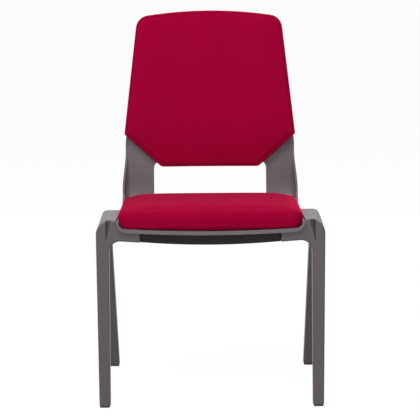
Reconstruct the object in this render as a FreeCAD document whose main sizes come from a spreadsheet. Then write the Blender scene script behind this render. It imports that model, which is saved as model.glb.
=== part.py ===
"""Visitor chair: moulded seat and back shell on two leg frames, with upholstered seat and back pads.

Millimetres, +Z up. The sitter faces -Y, +X is to the right of someone who looks at the chair from
the front, and the origin is on the floor under the middle of the chair.

The seat frame is the pan's own frame: its origin is the middle of the pan's front edge, on the
upper surface, and it is tipped back by the seat slope.
"""
import FreeCAD
import Part
import Sketcher
import math
import os
from FreeCAD import Placement, Rotation, Vector

DRIVING_SIZES = [
    # Stance
    ("leg_standoff", 46.5),
    ("leg_front_y", -253.5),
    ("seat_slope", 3.8),
    ("rail_height", 434.0),
    # Leg frames
    ("leg_width", 29.5),
    ("foot_width", 25.0),
    ("foot_inset", 3.0),
    ("front_leg_depth", 46.0),
    ("front_foot_depth", 30.0),
    ("rear_leg_depth", 46.0),
    ("rear_foot_depth", 28.0),
    ("foot_span", 446.0),
    ("rail_length", 285.0),
    ("rail_depth", 64.0),
    ("rail_wall", 12.0),
    ("rear_arm_depth", 52.0),
    ("crest_radius", 60.0),
    ("crest_edge_radius", 14.0),
    ("rear_edge_radius", 8.0),
    ("arch_radius", 42.0),
    ("shoulder_radius", 34.0),
    ("arm_radius", 26.0),
    ("rear_arm_radius", 12.0),
    ("arm_reach", 99.5),
    ("arm_depth", 47.0),
    ("arm_droop", 5.0),
    ("toe_in", 5.0),
    ("rear_lean", 9.0),
    ("leg_edge_radius", 4.0),
    ("groove_inset", 22.5),
    ("groove_width", 15.0),
    ("groove_length", 66.0),
    ("groove_depth", 13.0),
    # Glides
    ("glide_height", 5.0),
    ("glide_margin", 1.2),
    ("glide_edge", 1.5),
    ("glide_corner", 3.0),
    ("stem_diameter", 10.0),
    ("stem_length", 18.0),
    ("stem_clearance", 0.1),
    # Seat and back shell
    ("shell_width", 426.0),
    ("shell_overhang", 8.0),
    ("shell_drop", 25.5),
    ("shell_wall", 5.0),
    ("lip_height", 8.7),
    ("lip_depth", 6.5),
    ("pan_bow_radius", 3000.0),
    ("pan_rim_radius", 15.0),
    ("pan_run", 372.0),
    ("bend_radius", 65.0),
    ("recline_low", 7.0),
    ("recline_top", 14.0),
    ("back_height", 455.5),
    ("back_bow_radius", 1080.0),
    ("back_rim_radius", 0.3),
    ("rim_height", 121.5),
    ("panel_height", 170.5),
    ("panel_width", 401.0),
    ("panel_top_width", 340.0),
    ("panel_corner", 30.0),
    ("top_arch", 14.0),
    ("opening_width", 273.0),
    ("opening_height", 101.5),
    ("opening_sill", -7.5),
    ("opening_corner", 18.0),
    ("opening_arch", 2.0),
    ("pan_clearance", 0.3),
    # Cross beams and the bolts that hold arm, beam and shell together
    ("beam_setback", 12.0),
    ("beam_depth", 30.0),
    ("beam_pitch", 233.0),
    ("beam_height", 27.0),
    ("beam_bow", 7.0),
    ("beam_wall", 3.0),
    ("beam_corner", 1.5),
    ("tenon_depth", 22.0),
    ("tenon_height", 7.0),
    ("tenon_length", 42.0),
    ("tenon_drop", 10.0),
    ("fit_clearance", 0.3),
    ("bolt_inset", 81.5),
    ("bolt_diameter", 8.0),
    ("bolt_head_diameter", 15.0),
    ("bolt_head_height", 4.0),
    ("bolt_seat", 21.0),
    ("bolt_bite", 8.0),
    ("boss_diameter", 18.0),
    ("boss_depth", 7.5),
    ("insert_diameter", 11.5),
    ("insert_length", 10.0),
    # Seat pad
    ("cover_thickness", 1.5),
    ("pad_clearance", 0.3),
    ("hem_width", 22.0),
    ("pad_side_gap", 2.5),
    ("pad_length", 396.0),
    ("pad_setback", 2.5),
    ("pad_base_draw", 31.5),
    ("pad_wide_level", 30.0),
    ("pad_height", 51.0),
    ("pad_crown", 4.0),
    ("pad_shoulder", 15.0),
    ("pad_plan_radius", 24.0),
    ("pad_heel_radius", 29.0),
    ("seat_board_thickness", 9.0),
    ("seat_board_margin", 3.0),
    ("seat_board_length", 340.0),
    ("seat_board_setback", 20.0),
    ("seat_board_corner", 30.0),
    ("seat_screw_spread", 220.0),
    ("seat_screw_front", 80.0),
    ("seat_screw_pitch", 220.0),
    ("screw_diameter", 6.0),
    ("screw_head_diameter", 12.0),
    ("screw_head_height", 3.5),
    ("tee_flange_diameter", 18.0),
    ("tee_flange_thickness", 1.6),
    ("tee_barrel_diameter", 8.5),
    # Back pad
    ("back_pad_gap", 0.8),
    ("back_pad_foot", 87.5),
    ("back_pad_low_width", 236.0),
    ("back_pad_wide_height", 167.5),
    ("back_pad_width", 411.0),
    ("back_pad_head", 457.5),
    ("back_pad_top_width", 350.0),
    ("back_pad_corner", 32.0),
    ("back_pad_edge", 25.0),
    ("back_pad_crown", 33.0),
    ("back_pad_shoulder", 9.0),
    ("back_board_thickness", 4.0),
    ("back_board_margin", 16.0),
    ("back_screw_head_diameter", 11.0),
    ("back_screw_head_height", 2.5),
    ("back_screw_diameter", 4.5),
    ("back_screw_spread", 220.0),
    ("back_screw_height", 161.5),
    ("back_screw_pitch", 115.0),
    ("back_screw_shy", 0.8),
    ("back_pad_low_corner", 12.0),
    ("back_pad_wide_corner", 14.0),
    ("back_pad_heel", 5.0),
    ("pad_toe_radius", 5.0),
    ("tee_length", 7.0),
    ("key_size", 5.5),
    ("key_depth", 2.2),
    ("beam_block", 24.0),
    ("beam_cells", 6),
]

SHEET_NAME = "Sizes"
HALF_ROOT = math.sqrt(0.5)
FAR = 700.0


class Size:
    """A number together with the sheet expression that it comes from."""

    def __init__(self, value, text):
        self.value = value
        self.text = text

    def _join(self, other, sign, value):
        return Size(value, f"({self.text} {sign} {as_size(other).text})")

    def __add__(self, other):
        return self._join(other, "+", self.value + as_size(other).value)

    def __sub__(self, other):
        return self._join(other, "-", self.value - as_size(other).value)

    def __mul__(self, other):
        return self._join(other, "*", self.value * as_size(other).value)

    def __truediv__(self, other):
        return self._join(other, "/", self.value / as_size(other).value)

    def __radd__(self, other):
        return as_size(other) + self

    def __rsub__(self, other):
        return as_size(other) - self

    def __rmul__(self, other):
        return as_size(other) * self

    def __neg__(self):
        return Size(-self.value, f"(-{self.text})")


def as_size(number):
    """Give a plain number the same form as a size from the sheet."""
    if isinstance(number, Size):
        return number
    return Size(float(number), f"({float(number)!r})")


def tangent(angle):
    """Tangent of an angle in degrees."""
    return Size(math.tan(math.radians(angle.value)), f"tan({angle.text} * 1 deg)")


def sine(angle):
    """Sine of an angle in degrees."""
    return Size(math.sin(math.radians(angle.value)), f"sin({angle.text} * 1 deg)")


def cosine(angle):
    """Cosine of an angle in degrees."""
    return Size(math.cos(math.radians(angle.value)), f"cos({angle.text} * 1 deg)")


def root(size):
    """Square root of a size."""
    return Size(math.sqrt(size.value), f"sqrt({size.text})")


class Sizes:
    """The driving sizes, each one an attribute named after its cell."""

    def __init__(self, doc):
        self.sheet = doc.addObject("Spreadsheet::Sheet", SHEET_NAME)
        for row, (alias, number) in enumerate(DRIVING_SIZES, start=1):
            self.sheet.set(f"A{row}", alias)
            self.sheet.set(f"B{row}", str(number))
            self.sheet.setAlias(f"B{row}", alias)
        doc.recompute()
        for alias, _ in DRIVING_SIZES:
            setattr(self, alias, Size(float(self.sheet.get(alias)), f"{SHEET_NAME}.{alias}"))


doc = FreeCAD.newDocument("VisitorChair")
S = Sizes(doc)

HALF_WIDTH = S.shell_width / 2 + S.leg_standoff
SHELL_LEVEL = S.rail_height - S.shell_drop
SHELL_TOP = SHELL_LEVEL + S.back_height
PANEL_LEVEL = SHELL_LEVEL + S.panel_height
RIM_LEVEL = SHELL_LEVEL + S.rim_height
OPENING_TOP = SHELL_LEVEL + S.opening_height
OPENING_BOTTOM = SHELL_LEVEL + S.opening_sill
BACK_PAD_BOTTOM = SHELL_LEVEL + S.back_pad_foot
BACK_PAD_WIDE_LEVEL = SHELL_LEVEL + S.back_pad_wide_height
BACK_PAD_TOP = SHELL_LEVEL + S.back_pad_head
BACK_SCREW_LOW = SHELL_LEVEL + S.back_screw_height
SLOPE = tangent(S.seat_slope)
SEAT_Y = S.leg_front_y - S.shell_overhang
ARM_X = HALF_WIDTH - S.arm_reach
BOLT_X = HALF_WIDTH - S.bolt_inset
BEAM_Y = S.shell_overhang + S.beam_setback + S.beam_depth / 2
BEAM_PLACES = {"front": BEAM_Y, "rear": BEAM_Y + S.beam_pitch}
SIDES = {"left": -1, "right": 1}


# Helpers for bodies, sketches and features

def bind(thing, prop, size):
    """Tie a property to a sheet expression."""
    thing.setExpression(prop, as_size(size).text)


def new_body(label):
    """Start an empty body under its node name."""
    body = doc.addObject("PartDesign::Body", label)
    body.Label = label
    return body


def place_in_seat(thing):
    """Stand an object made in the seat frame on its place in the chair."""
    thing.Placement = Placement(Vector(), Rotation(Vector(1, 0, 0), -S.seat_slope.value))
    bind(thing, "Placement.Base.y", SEAT_Y)
    bind(thing, "Placement.Base.z", SHELL_LEVEL)
    bind(thing, "Placement.Rotation.Angle", -S.seat_slope)


def new_sketch(body, name, role, base=(0, 0, 0)):
    """Sketch on one of the body's own origin planes, lifted off it by base."""
    sketch = body.newObject("Sketcher::SketchObject", f"{body.Name}_{name}")
    plane = next(item for item in body.Origin.OriginFeatures if item.Role == role)
    sketch.AttachmentSupport = [(plane, "")]
    sketch.MapMode = "FlatFace"
    for letter, size in zip("xyz", base):
        bind(sketch, f"AttachmentOffset.Base.{letter}", size)
    return sketch


def seat_sketch(body, name, role, lift):
    """Sketch in the seat frame on a body that stands in the chair's frame.

    lift moves the sketch along its own normal: -Y on XZ_Plane, +X on YZ_Plane, +Z on XY_Plane.
    """
    sketch = new_sketch(body, name, role)
    axis = Vector(0, 0, 1) if role == "YZ_Plane" else Vector(1, 0, 0)
    sketch.AttachmentOffset = Placement(Vector(), Rotation(axis, -S.seat_slope.value))
    rise = lift * sine(S.seat_slope)
    run = lift * cosine(S.seat_slope)
    bases = {
        "XZ_Plane": (as_size(0), SHELL_LEVEL + rise, run - SEAT_Y),
        "YZ_Plane": (SEAT_Y, SHELL_LEVEL, lift),
        "XY_Plane": (as_size(0), SEAT_Y + rise, SHELL_LEVEL + run),
    }
    for letter, size in zip("xyz", bases[role]):
        bind(sketch, f"AttachmentOffset.Base.{letter}", size)
    bind(sketch, "AttachmentOffset.Rotation.Angle", -S.seat_slope)
    return sketch


def constrain(sketch, constraint, size):
    """Add a dimension to a sketch and tie it to the sheet."""
    number = sketch.addConstraint(constraint)
    sketch.setExpression(f"Constraints[{number}]", as_size(size).text)


def arc_points(start, end, radius):
    """Middle point of an arc that bulges right of its way, or left if the radius is negative."""
    along = end - start
    right = Vector(along.y, -along.x, 0).normalize()
    rise = abs(radius) - math.sqrt(radius * radius - along.Length ** 2 / 4)
    return (start + end) * 0.5 + right * math.copysign(rise, radius)


def draw_outline(sketch, corners):
    """Closed outline; a corner is (x, y), or (x, y, radius) where an arc leads to the next one."""
    places = [Vector(as_size(corner[0]).value, as_size(corner[1]).value, 0) for corner in corners]
    first_ends = []
    last_ends = []
    for i, corner in enumerate(corners):
        start = places[i]
        end = places[(i + 1) % len(places)]
        if len(corner) == 2:
            edge = sketch.addGeometry(Part.LineSegment(start, end), False)
        else:
            middle = arc_points(start, end, corner[2].value)
            edge = sketch.addGeometry(Part.Arc(start, middle, end), False)
            bow = corner[2] if corner[2].value > 0 else -corner[2]
            constrain(sketch, Sketcher.Constraint("Radius", edge, bow.value), bow)
        forward = sketch.getPoint(edge, 1).distanceToPoint(start) < 1e-6
        first_ends.append((edge, 1 if forward else 2))
        last_ends.append((edge, 2 if forward else 1))
    for i, corner in enumerate(corners):
        sketch.addConstraint(Sketcher.Constraint("Coincident", *last_ends[i - 1], *first_ends[i]))
        for kind, size in zip(("DistanceX", "DistanceY"), corner):
            size = as_size(size)
            constrain(sketch, Sketcher.Constraint(kind, -1, 1, *first_ends[i], size.value), size)
    return sketch


def on_side(corners, side):
    """Mirror an outline to the left side, keeping its turning sense."""
    if side > 0:
        return corners
    count = len(corners)
    mirrored = []
    for i in range(count):
        corner = corners[count - 1 - i]
        edge = corners[count - 2 - i]
        mirrored.append((-as_size(corner[0]), corner[1], *edge[2:]))
    return mirrored


def box_outline(x_low, x_high, y_low, y_high):
    """Corners of an upright rectangle."""
    return [(x_low, y_low), (x_high, y_low), (x_high, y_high), (x_low, y_high)]


def draw_circles(sketch, centres, diameter):
    """Circles of one diameter at bound centres."""
    for x, y in centres:
        x = as_size(x)
        y = as_size(y)
        circle = Part.Circle(Vector(x.value, y.value, 0), Vector(0, 0, 1), diameter.value / 2)
        edge = sketch.addGeometry(circle, False)
        constrain(sketch, Sketcher.Constraint("Diameter", edge, diameter.value), diameter)
        constrain(sketch, Sketcher.Constraint("DistanceX", -1, 1, edge, 3, x.value), x)
        constrain(sketch, Sketcher.Constraint("DistanceY", -1, 1, edge, 3, y.value), y)
    return sketch


def pad(body, sketch, length, reverse=False):
    """Extrude a sketch into the body."""
    feature = body.newObject("PartDesign::Pad", f"{sketch.Name}_pad")
    feature.Profile = sketch
    bind(feature, "Length", length)
    feature.Reversed = reverse
    doc.recompute()
    return feature


def pocket(body, sketch, length=None, reverse=False, both=False):
    """Cut a sketch out of the body, right through where no length is given."""
    before = body.Shape.Volume
    feature = body.newObject("PartDesign::Pocket", f"{sketch.Name}_cut")
    feature.Profile = sketch
    if length is None:
        feature.Type = "ThroughAll"
        feature.Midplane = both
    else:
        bind(feature, "Length", length)
    feature.Reversed = reverse
    doc.recompute()
    if body.Shape.Volume > before - 1.0:
        raise ValueError(f"{sketch.Name} cuts nothing")
    return feature


def edges_where(body, test):
    """Names of the body's edges that pass a test."""
    return [f"Edge{i}" for i, edge in enumerate(body.Shape.Edges, start=1) if test(edge)]


def round_edges(body, test, radius):
    """Fillet every edge of the body that passes a test."""
    names = edges_where(body, test)
    if not names:
        raise ValueError(f"no edge to round on {body.Label}")
    base = body.Tip
    feature = body.newObject("PartDesign::Fillet", f"{body.Name}_round")
    feature.Base = (base, names)
    bind(feature, "Radius", radius)
    doc.recompute()
    return feature


def runs_along(edge, direction):
    """Whether a straight edge is parallel to a direction."""
    if edge.Curve.TypeId != "Part::GeomLine":
        return False
    return abs(edge.Curve.Direction.dot(Vector(*direction).normalize())) > 0.999


def near(value, target, slack=0.5):
    """Whether two numbers agree within a slack."""
    return abs(value - target) < slack


# Seat pan surfaces, shared by the shell and by what seats against it

def pan_rise(x, depth=0.0):
    """Height of the pan at x above its middle, on the surface that lies depth below the upper one."""
    outer = S.pan_bow_radius + depth
    return S.pan_bow_radius - root(outer * outer - as_size(x) * x)


PAN_REACH = (S.shell_width / 2 - S.shell_wall - S.pan_rim_radius) / (1 - S.pan_rim_radius / S.pan_bow_radius)
PAN_SINE = PAN_REACH / S.pan_bow_radius
PAN_COSINE = root(1 - PAN_SINE * PAN_SINE)
BOSS_END = pan_rise(BOLT_X) - S.shell_wall - S.boss_depth


# Leg frames

def leg_front_view(body, side):
    """Front view of a leg and its arm, swept back along the sloping rail."""
    sketch = new_sketch(body, "front_view", "XZ_Plane", (as_size(0), as_size(0), -S.leg_front_y))
    arm_level = S.rail_height - S.arm_depth
    foot_outer = HALF_WIDTH - S.foot_inset
    corners = [
        (ARM_X, arm_level - S.arm_droop),
        (HALF_WIDTH - S.leg_width, arm_level),
        (foot_outer - S.foot_width, S.glide_height),
        (foot_outer, S.glide_height),
        (HALF_WIDTH, S.rail_height),
        (ARM_X, S.rail_height),
    ]
    draw_outline(sketch, on_side(corners, side))
    along_rail(pad(body, sketch, S.foot_span + S.rear_foot_depth, reverse=True), side)


def along_rail(feature, side):
    """Turn an extrusion of the front view along the sloping rail and its toe-in."""
    feature.UseCustomVector = True
    feature.AlongSketchNormal = True
    feature.Direction = Vector(-side * S.toe_in.value / S.foot_span.value, 1, -SLOPE.value)
    bind(feature, "Direction.x", -side * S.toe_in / S.foot_span)
    bind(feature, "Direction.z", -SLOPE)
    feature.Reversed = False
    doc.recompute()


def crest_tangents(rake):
    """Run of the crest's arc along the rail and its drop along the rear leg, from their corner."""
    lean = math.atan(rake.value)
    slope = math.radians(S.seat_slope.value)
    reach = S.crest_radius * math.tan((math.pi / 2 - lean - slope) / 2)
    return reach * math.cos(slope), reach * math.cos(lean)


def leg_side_view(body):
    """Cut the side view: floor line, gap between the legs, and the space behind the rear leg."""
    front = S.leg_front_y
    crest_level = S.rail_height - SLOPE * S.rail_length
    rake = (S.foot_span - S.rail_length) / (crest_level - S.glide_height)
    crest_run, crest_drop = crest_tangents(rake)
    crest_y = front + S.rail_length - crest_run
    outlines = {
        "floor": box_outline(front - FAR, front + FAR, as_size(-FAR), S.glide_height),
        "gap": [
            (front + S.front_foot_depth, S.glide_height),
            (front + S.foot_span - S.rear_foot_depth, S.glide_height),
            (front + S.rail_length + rake * S.rail_depth - S.rear_leg_depth, crest_level - S.rail_depth),
            (front + S.front_leg_depth, S.rail_height - S.rail_depth - SLOPE * S.front_leg_depth),
        ],
        "behind": [
            (front + S.foot_span, S.glide_height),
            (front + FAR, S.glide_height),
            (front + FAR, as_size(FAR)),
            (crest_y, as_size(FAR)),
            (crest_y, crest_level + SLOPE * crest_run, -S.crest_radius),
            (front + S.rail_length + rake * crest_drop, crest_level - crest_drop),
        ],
    }
    for name, corners in outlines.items():
        pocket(body, draw_outline(new_sketch(body, name, "YZ_Plane"), corners), both=True)
    return crest_level + SLOPE * crest_run, crest_level - crest_drop


def round_shoulder(blank, label, crest_top, crest_end):
    """Round the outer top edge: full at the shoulder, easing off over the crest and down the rear leg."""
    outer_x = HALF_WIDTH.value - S.leg_width.value / 2

    def radius(point):
        if near(point.y, S.leg_front_y.value):
            return S.shoulder_radius.value
        if point.z > crest_end.value - 0.5:
            return S.crest_edge_radius.value
        return S.rear_edge_radius.value

    edges = []
    for number, edge in enumerate(blank.Shape.Edges, start=1):
        ends = [edge.valueAt(edge.FirstParameter), edge.valueAt(edge.LastParameter)]
        on_crest = any(near(p.z, crest_top.value) or near(p.z, crest_end.value) for p in ends)
        if on_crest and all(abs(p.x) > outer_x for p in ends):
            edges.append((number, radius(ends[0]), radius(ends[1])))
    edges.sort(key=lambda item: -blank.Shape.Edges[item[0] - 1].CenterOfMass.z)
    rounded = doc.addObject("Part::Fillet", label)
    rounded.Base = blank
    rounded.Edges = edges
    doc.recompute()
    return rounded


def round_arch(body):
    """Round the two corners of the arch between the legs."""
    front = S.leg_front_y.value + S.front_foot_depth.value
    rear = S.leg_front_y.value + S.rail_length.value
    low = S.glide_height.value + S.rail_depth.value
    round_edges(body, lambda e: runs_along(e, (1, 0, 0)) and e.Length < S.leg_width.value + 1
                and front < e.CenterOfMass.y < rear and e.CenterOfMass.z > low, S.arch_radius)


def hollow_rail(body, side):
    """Open the inner side of the rail between its two arms, leaving the outer wall and the top flange."""
    wall_x = HALF_WIDTH - S.rail_wall
    sketch = new_sketch(body, "rail_hollow", "YZ_Plane", (as_size(0), as_size(0), side * wall_x))
    front = S.leg_front_y + S.front_leg_depth
    rear = S.leg_front_y + S.rail_length - S.rear_arm_depth
    flange = S.rail_height - S.rail_wall
    low = S.rail_height - S.rail_depth - S.arch_radius - S.rail_wall
    draw_outline(sketch, [
        (front, low),
        (rear, low),
        (rear, flange - SLOPE * (S.rail_length - S.rear_arm_depth)),
        (front, flange - SLOPE * S.front_leg_depth),
    ])
    pocket(body, sketch, S.arm_reach, reverse=side < 0)
    inner = wall_x.value
    round_edges(body, lambda e: near(abs(e.CenterOfMass.x), inner, 0.2) and e.Length > S.rail_length.value / 3
                and e.CenterOfMass.z > flange.value - S.rail_wall.value * 2, S.shoulder_radius - S.rail_wall)


def lean_rear_leg(body, side):
    """Draw the rear leg's inner face outward towards the rail, so that the leg leans in to its foot."""
    start = S.rail_length / 2
    toe = S.toe_in * start / S.foot_span
    drop = SLOPE * start
    arm_level = S.rail_height - S.arm_depth
    inner = HALF_WIDTH - S.leg_width
    foot_inner = HALF_WIDTH - S.foot_inset - S.foot_width
    foot_level = SLOPE * (S.foot_span - S.rear_foot_depth)
    share = (foot_level - S.glide_height) / (arm_level - S.glide_height)
    rise = S.arm_droop * S.rear_lean / (S.arm_reach - S.leg_width)
    corners = [
        (inner + S.rear_lean, arm_level + rise),
        (inner, arm_level),
        (inner - S.rail_wall, foot_level),
        (foot_inner + (inner - foot_inner) * share, foot_level),
    ]
    shifted = [(x - toe, z - drop) for x, z in corners]
    sketch = new_sketch(body, "rear_lean", "XZ_Plane", (as_size(0), as_size(0), -S.leg_front_y - start))
    draw_outline(sketch, on_side(shifted, side))
    along_rail(pocket(body, sketch, S.foot_span), side)


def round_arm_roots(body):
    """Fillet each arm into the inner face of its leg."""
    inner = HALF_WIDTH.value - S.leg_width.value
    inner_x = {"front": inner, "rear": inner + S.rear_lean.value}
    sweep_y = {"front": S.leg_front_y.value, "rear": S.leg_front_y.value + S.rail_length.value}
    radii = {"front": S.arm_radius, "rear": S.rear_arm_radius}
    for place, radius in radii.items():
        round_edges(body, lambda e: near(abs(e.CenterOfMass.x), inner_x[place], 4)
                    and e.Length > S.front_leg_depth.value - 1
                    and e.BoundBox.ZLength < S.rail_wall.value / 2 + 1
                    and near(e.CenterOfMass.y, sweep_y[place], S.rear_arm_depth.value), radius)


def round_leg_edges(body):
    """Soften every long edge of the legs."""
    least = S.rail_height.value * 0.6
    round_edges(body, lambda e: e.Curve.TypeId == "Part::GeomLine" and e.BoundBox.ZLength > least,
                S.leg_edge_radius)


def cut_saddle(body, side):
    """Shape the arms' tops to the underside of the pan, with clearance."""
    depth = S.shell_wall + S.pan_clearance
    start_x = ARM_X - S.rail_wall
    corner_level = S.pan_bow_radius * (1 - PAN_COSINE) + S.pan_rim_radius * PAN_COSINE
    wall_x = S.shell_width / 2 + S.pan_clearance
    high = S.rail_height - SHELL_LEVEL + S.rail_wall
    corners = [
        (start_x, pan_rise(start_x, depth)),
        (PAN_REACH + depth * PAN_SINE, S.pan_bow_radius * (1 - PAN_COSINE) - depth * PAN_COSINE,
         S.pan_rim_radius + depth),
        (wall_x, corner_level),
        (wall_x, high),
        (start_x, high),
    ]
    sketch = draw_outline(seat_sketch(body, "saddle", "XZ_Plane", as_size(0)), on_side(corners, side))
    pocket(body, sketch)


def cut_mortises(body, side):
    """Slot each arm for the beam's tenon and bore it for the bolt and the shell's boss."""
    depth = S.tenon_depth / 2 + S.fit_clearance
    end_x = ARM_X + S.tenon_length + S.fit_clearance
    for place, beam_y in BEAM_PLACES.items():
        slot = seat_sketch(body, f"{place}_mortise", "YZ_Plane", side * end_x)
        low = -S.tenon_drop - S.tenon_height - S.fit_clearance
        draw_outline(slot, box_outline(beam_y - depth, beam_y + depth, low, -S.tenon_drop + S.fit_clearance))
        pocket(body, slot, S.tenon_length + S.rail_wall, reverse=side < 0)
        boss_end = BOSS_END - S.fit_clearance
        above = S.rail_wall
        bores = {
            "bolt_hole": (S.bolt_diameter, above, S.rail_depth),
            "boss_seat": (S.boss_diameter, above, above - boss_end),
            "bolt_spot": (S.bolt_head_diameter, -S.bolt_seat, S.rail_depth),
        }
        for name, (diameter, lift, length) in bores.items():
            hole = seat_sketch(body, f"{place}_{name}", "XY_Plane", lift)
            draw_circles(hole, [(side * BOLT_X, beam_y)], diameter + 2 * S.fit_clearance)
            pocket(body, hole, length)


def cut_fork_groove(body, side):
    """Wedge-shaped groove that parts the outer ribbon from the arm, deep at the top, ending in a point."""
    outer_x = HALF_WIDTH - S.groove_inset
    proud = S.leg_edge_radius
    top = new_sketch(body, "groove_top", "XY_Plane", (as_size(0), as_size(0), S.rail_height + S.rail_wall))
    tip = new_sketch(body, "groove_tip", "XY_Plane", (as_size(0), as_size(0), S.rail_height - S.groove_length))
    front = S.leg_front_y - proud
    for sketch, share in ((top, 1 + S.rail_wall / S.groove_length), (tip, as_size(0.02))):
        corners = [
            (outer_x, front),
            (outer_x, front + (S.groove_depth + proud) * share),
            (outer_x - (S.groove_width + proud) * share, front),
        ]
        draw_outline(sketch, on_side(corners, side))
    before = body.Shape.Volume
    groove = body.newObject("PartDesign::SubtractiveLoft", f"{body.Name}_groove")
    groove.Profile = top
    groove.Sections = [tip]
    groove.Ruled = True
    doc.recompute()
    if body.Shape.Volume > before - 1.0:
        raise ValueError("the groove cuts nothing")


def foot_centres(side):
    """Middle of the front and the rear foot on the floor."""
    x = HALF_WIDTH - S.foot_inset - S.foot_width / 2
    rear = S.foot_span - S.rear_foot_depth / 2
    return {
        "front": (side * x, S.leg_front_y + S.front_foot_depth / 2),
        "rear": (side * (x - S.toe_in * rear / S.foot_span), S.leg_front_y + rear),
    }


def leg_frame(name, side):
    """One side of the chair: front leg, rail with two arms, and raked rear leg, in one moulding."""
    blank = new_body(f"{name}_leg_blank")
    leg_front_view(blank, side)
    rounded = round_shoulder(blank, f"{name}_leg_rounded", *leg_side_view(blank))
    body = new_body(f"{name}_leg_frame")
    body.BaseFeature = rounded
    doc.recompute()
    round_arch(body)
    hollow_rail(body, side)
    lean_rear_leg(body, side)
    round_arm_roots(body)
    round_leg_edges(body)
    cut_saddle(body, side)
    cut_mortises(body, side)
    cut_fork_groove(body, side)
    stems = new_sketch(body, "stem_holes", "XY_Plane")
    draw_circles(stems, foot_centres(side).values(), S.stem_diameter + 2 * S.stem_clearance)
    pocket(body, stems, S.glide_height + S.stem_length + S.stem_clearance, reverse=True)
    return body


# Glides

def glide(name, side, place):
    """Moulded foot with a flat sole and a stem that plugs into the leg."""
    body = new_body(f"{place}_{name}_glide")
    x, y = foot_centres(side)[place]
    depth = S.front_foot_depth if place == "front" else S.rear_foot_depth
    half_width = S.foot_width / 2 - S.glide_margin
    half_depth = depth / 2 - S.glide_margin
    sole = new_sketch(body, "sole", "XY_Plane")
    draw_outline(sole, box_outline(x - half_width, x + half_width, y - half_depth, y + half_depth))
    pad(body, sole, S.glide_height)
    round_edges(body, lambda e: runs_along(e, (0, 0, 1)), S.glide_corner)
    round_edges(body, lambda e: near(e.BoundBox.ZMax, 0, 0.01), S.glide_edge)
    stem = new_sketch(body, "stem", "XY_Plane", (as_size(0), as_size(0), S.glide_height))
    draw_circles(stem, [(x, y)], S.stem_diameter)
    pad(body, stem, S.stem_length)
    return body


# Seat and back shell

class BackLine:
    """Middle line of the shell's front surface: pan, bend and back, as seen from the side."""

    def __init__(self):
        self.slope = math.radians(S.seat_slope.value)
        self.low = math.radians(90 - S.recline_low.value)
        self.high = math.radians(90 - S.recline_top.value)
        self.start = Vector(0, SEAT_Y.value, SHELL_LEVEL.value)
        self.pan_end = self.start + self.along(-self.slope) * S.pan_run.value
        self.bend_centre = self.pan_end + self.across(-self.slope) * S.bend_radius.value
        self.bend_end = self.bend_centre - self.across(self.low) * S.bend_radius.value
        rise = SHELL_TOP.value - self.bend_end.z
        self.radius = rise / (math.cos(self.high) - math.cos(self.low))

    @staticmethod
    def along(angle):
        """Unit vector along the line where it climbs at an angle."""
        return Vector(0, math.cos(angle), math.sin(angle))

    @staticmethod
    def across(angle):
        """Unit vector off the line's upper or front side."""
        return Vector(0, -math.sin(angle), math.cos(angle))

    def on_pan(self, run):
        """Place and climb angle at a run back from the pan's front edge."""
        return self.start + self.along(-self.slope) * run, -self.slope

    def in_bend(self, share):
        """Place and climb angle at a share of the bend."""
        angle = -self.slope + (self.low + self.slope) * share
        return self.bend_centre - self.across(angle) * S.bend_radius.value, angle

    def at_level(self, level):
        """Place and climb angle on the back at a height above the floor."""
        angle = math.acos(math.cos(self.low) + (level - self.bend_end.z) / self.radius)
        run = self.radius * (math.sin(self.low) - math.sin(angle))
        return Vector(0, self.bend_end.y + run, level), angle


LINE = BackLine()


def blend(low, high, share):
    """Value between two ends."""
    return low + (high - low) * share


def bow_rise(x, radius):
    """Height of a bow of a given radius at x above its middle."""
    return radius - math.sqrt(radius * radius - x * x)


def back_share(level):
    """How far a height lies between the end of the bend and the panel's widest line, from 0 to 1."""
    return min(max((level - LINE.bend_end.z) / (PANEL_LEVEL.value - LINE.bend_end.z), 0.0), 1.0)


def back_bow(level):
    """Radius of the back's bow across its width at a height."""
    return 1 / blend(1 / S.pan_bow_radius.value, 1 / S.back_bow_radius.value, back_share(level))


def placer(origin, angle):
    """Function that sets a section's (x, height) in place on the line."""
    def place(x, height):
        return origin + Vector(x, 0, 0) + LINE.across(angle) * height
    return place


def arc(start, middle, end):
    """Arc edge through three points."""
    return Part.Arc(start, middle, end).toShape()


def line(start, end):
    """Straight edge."""
    return Part.LineSegment(start, end).toShape()


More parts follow.
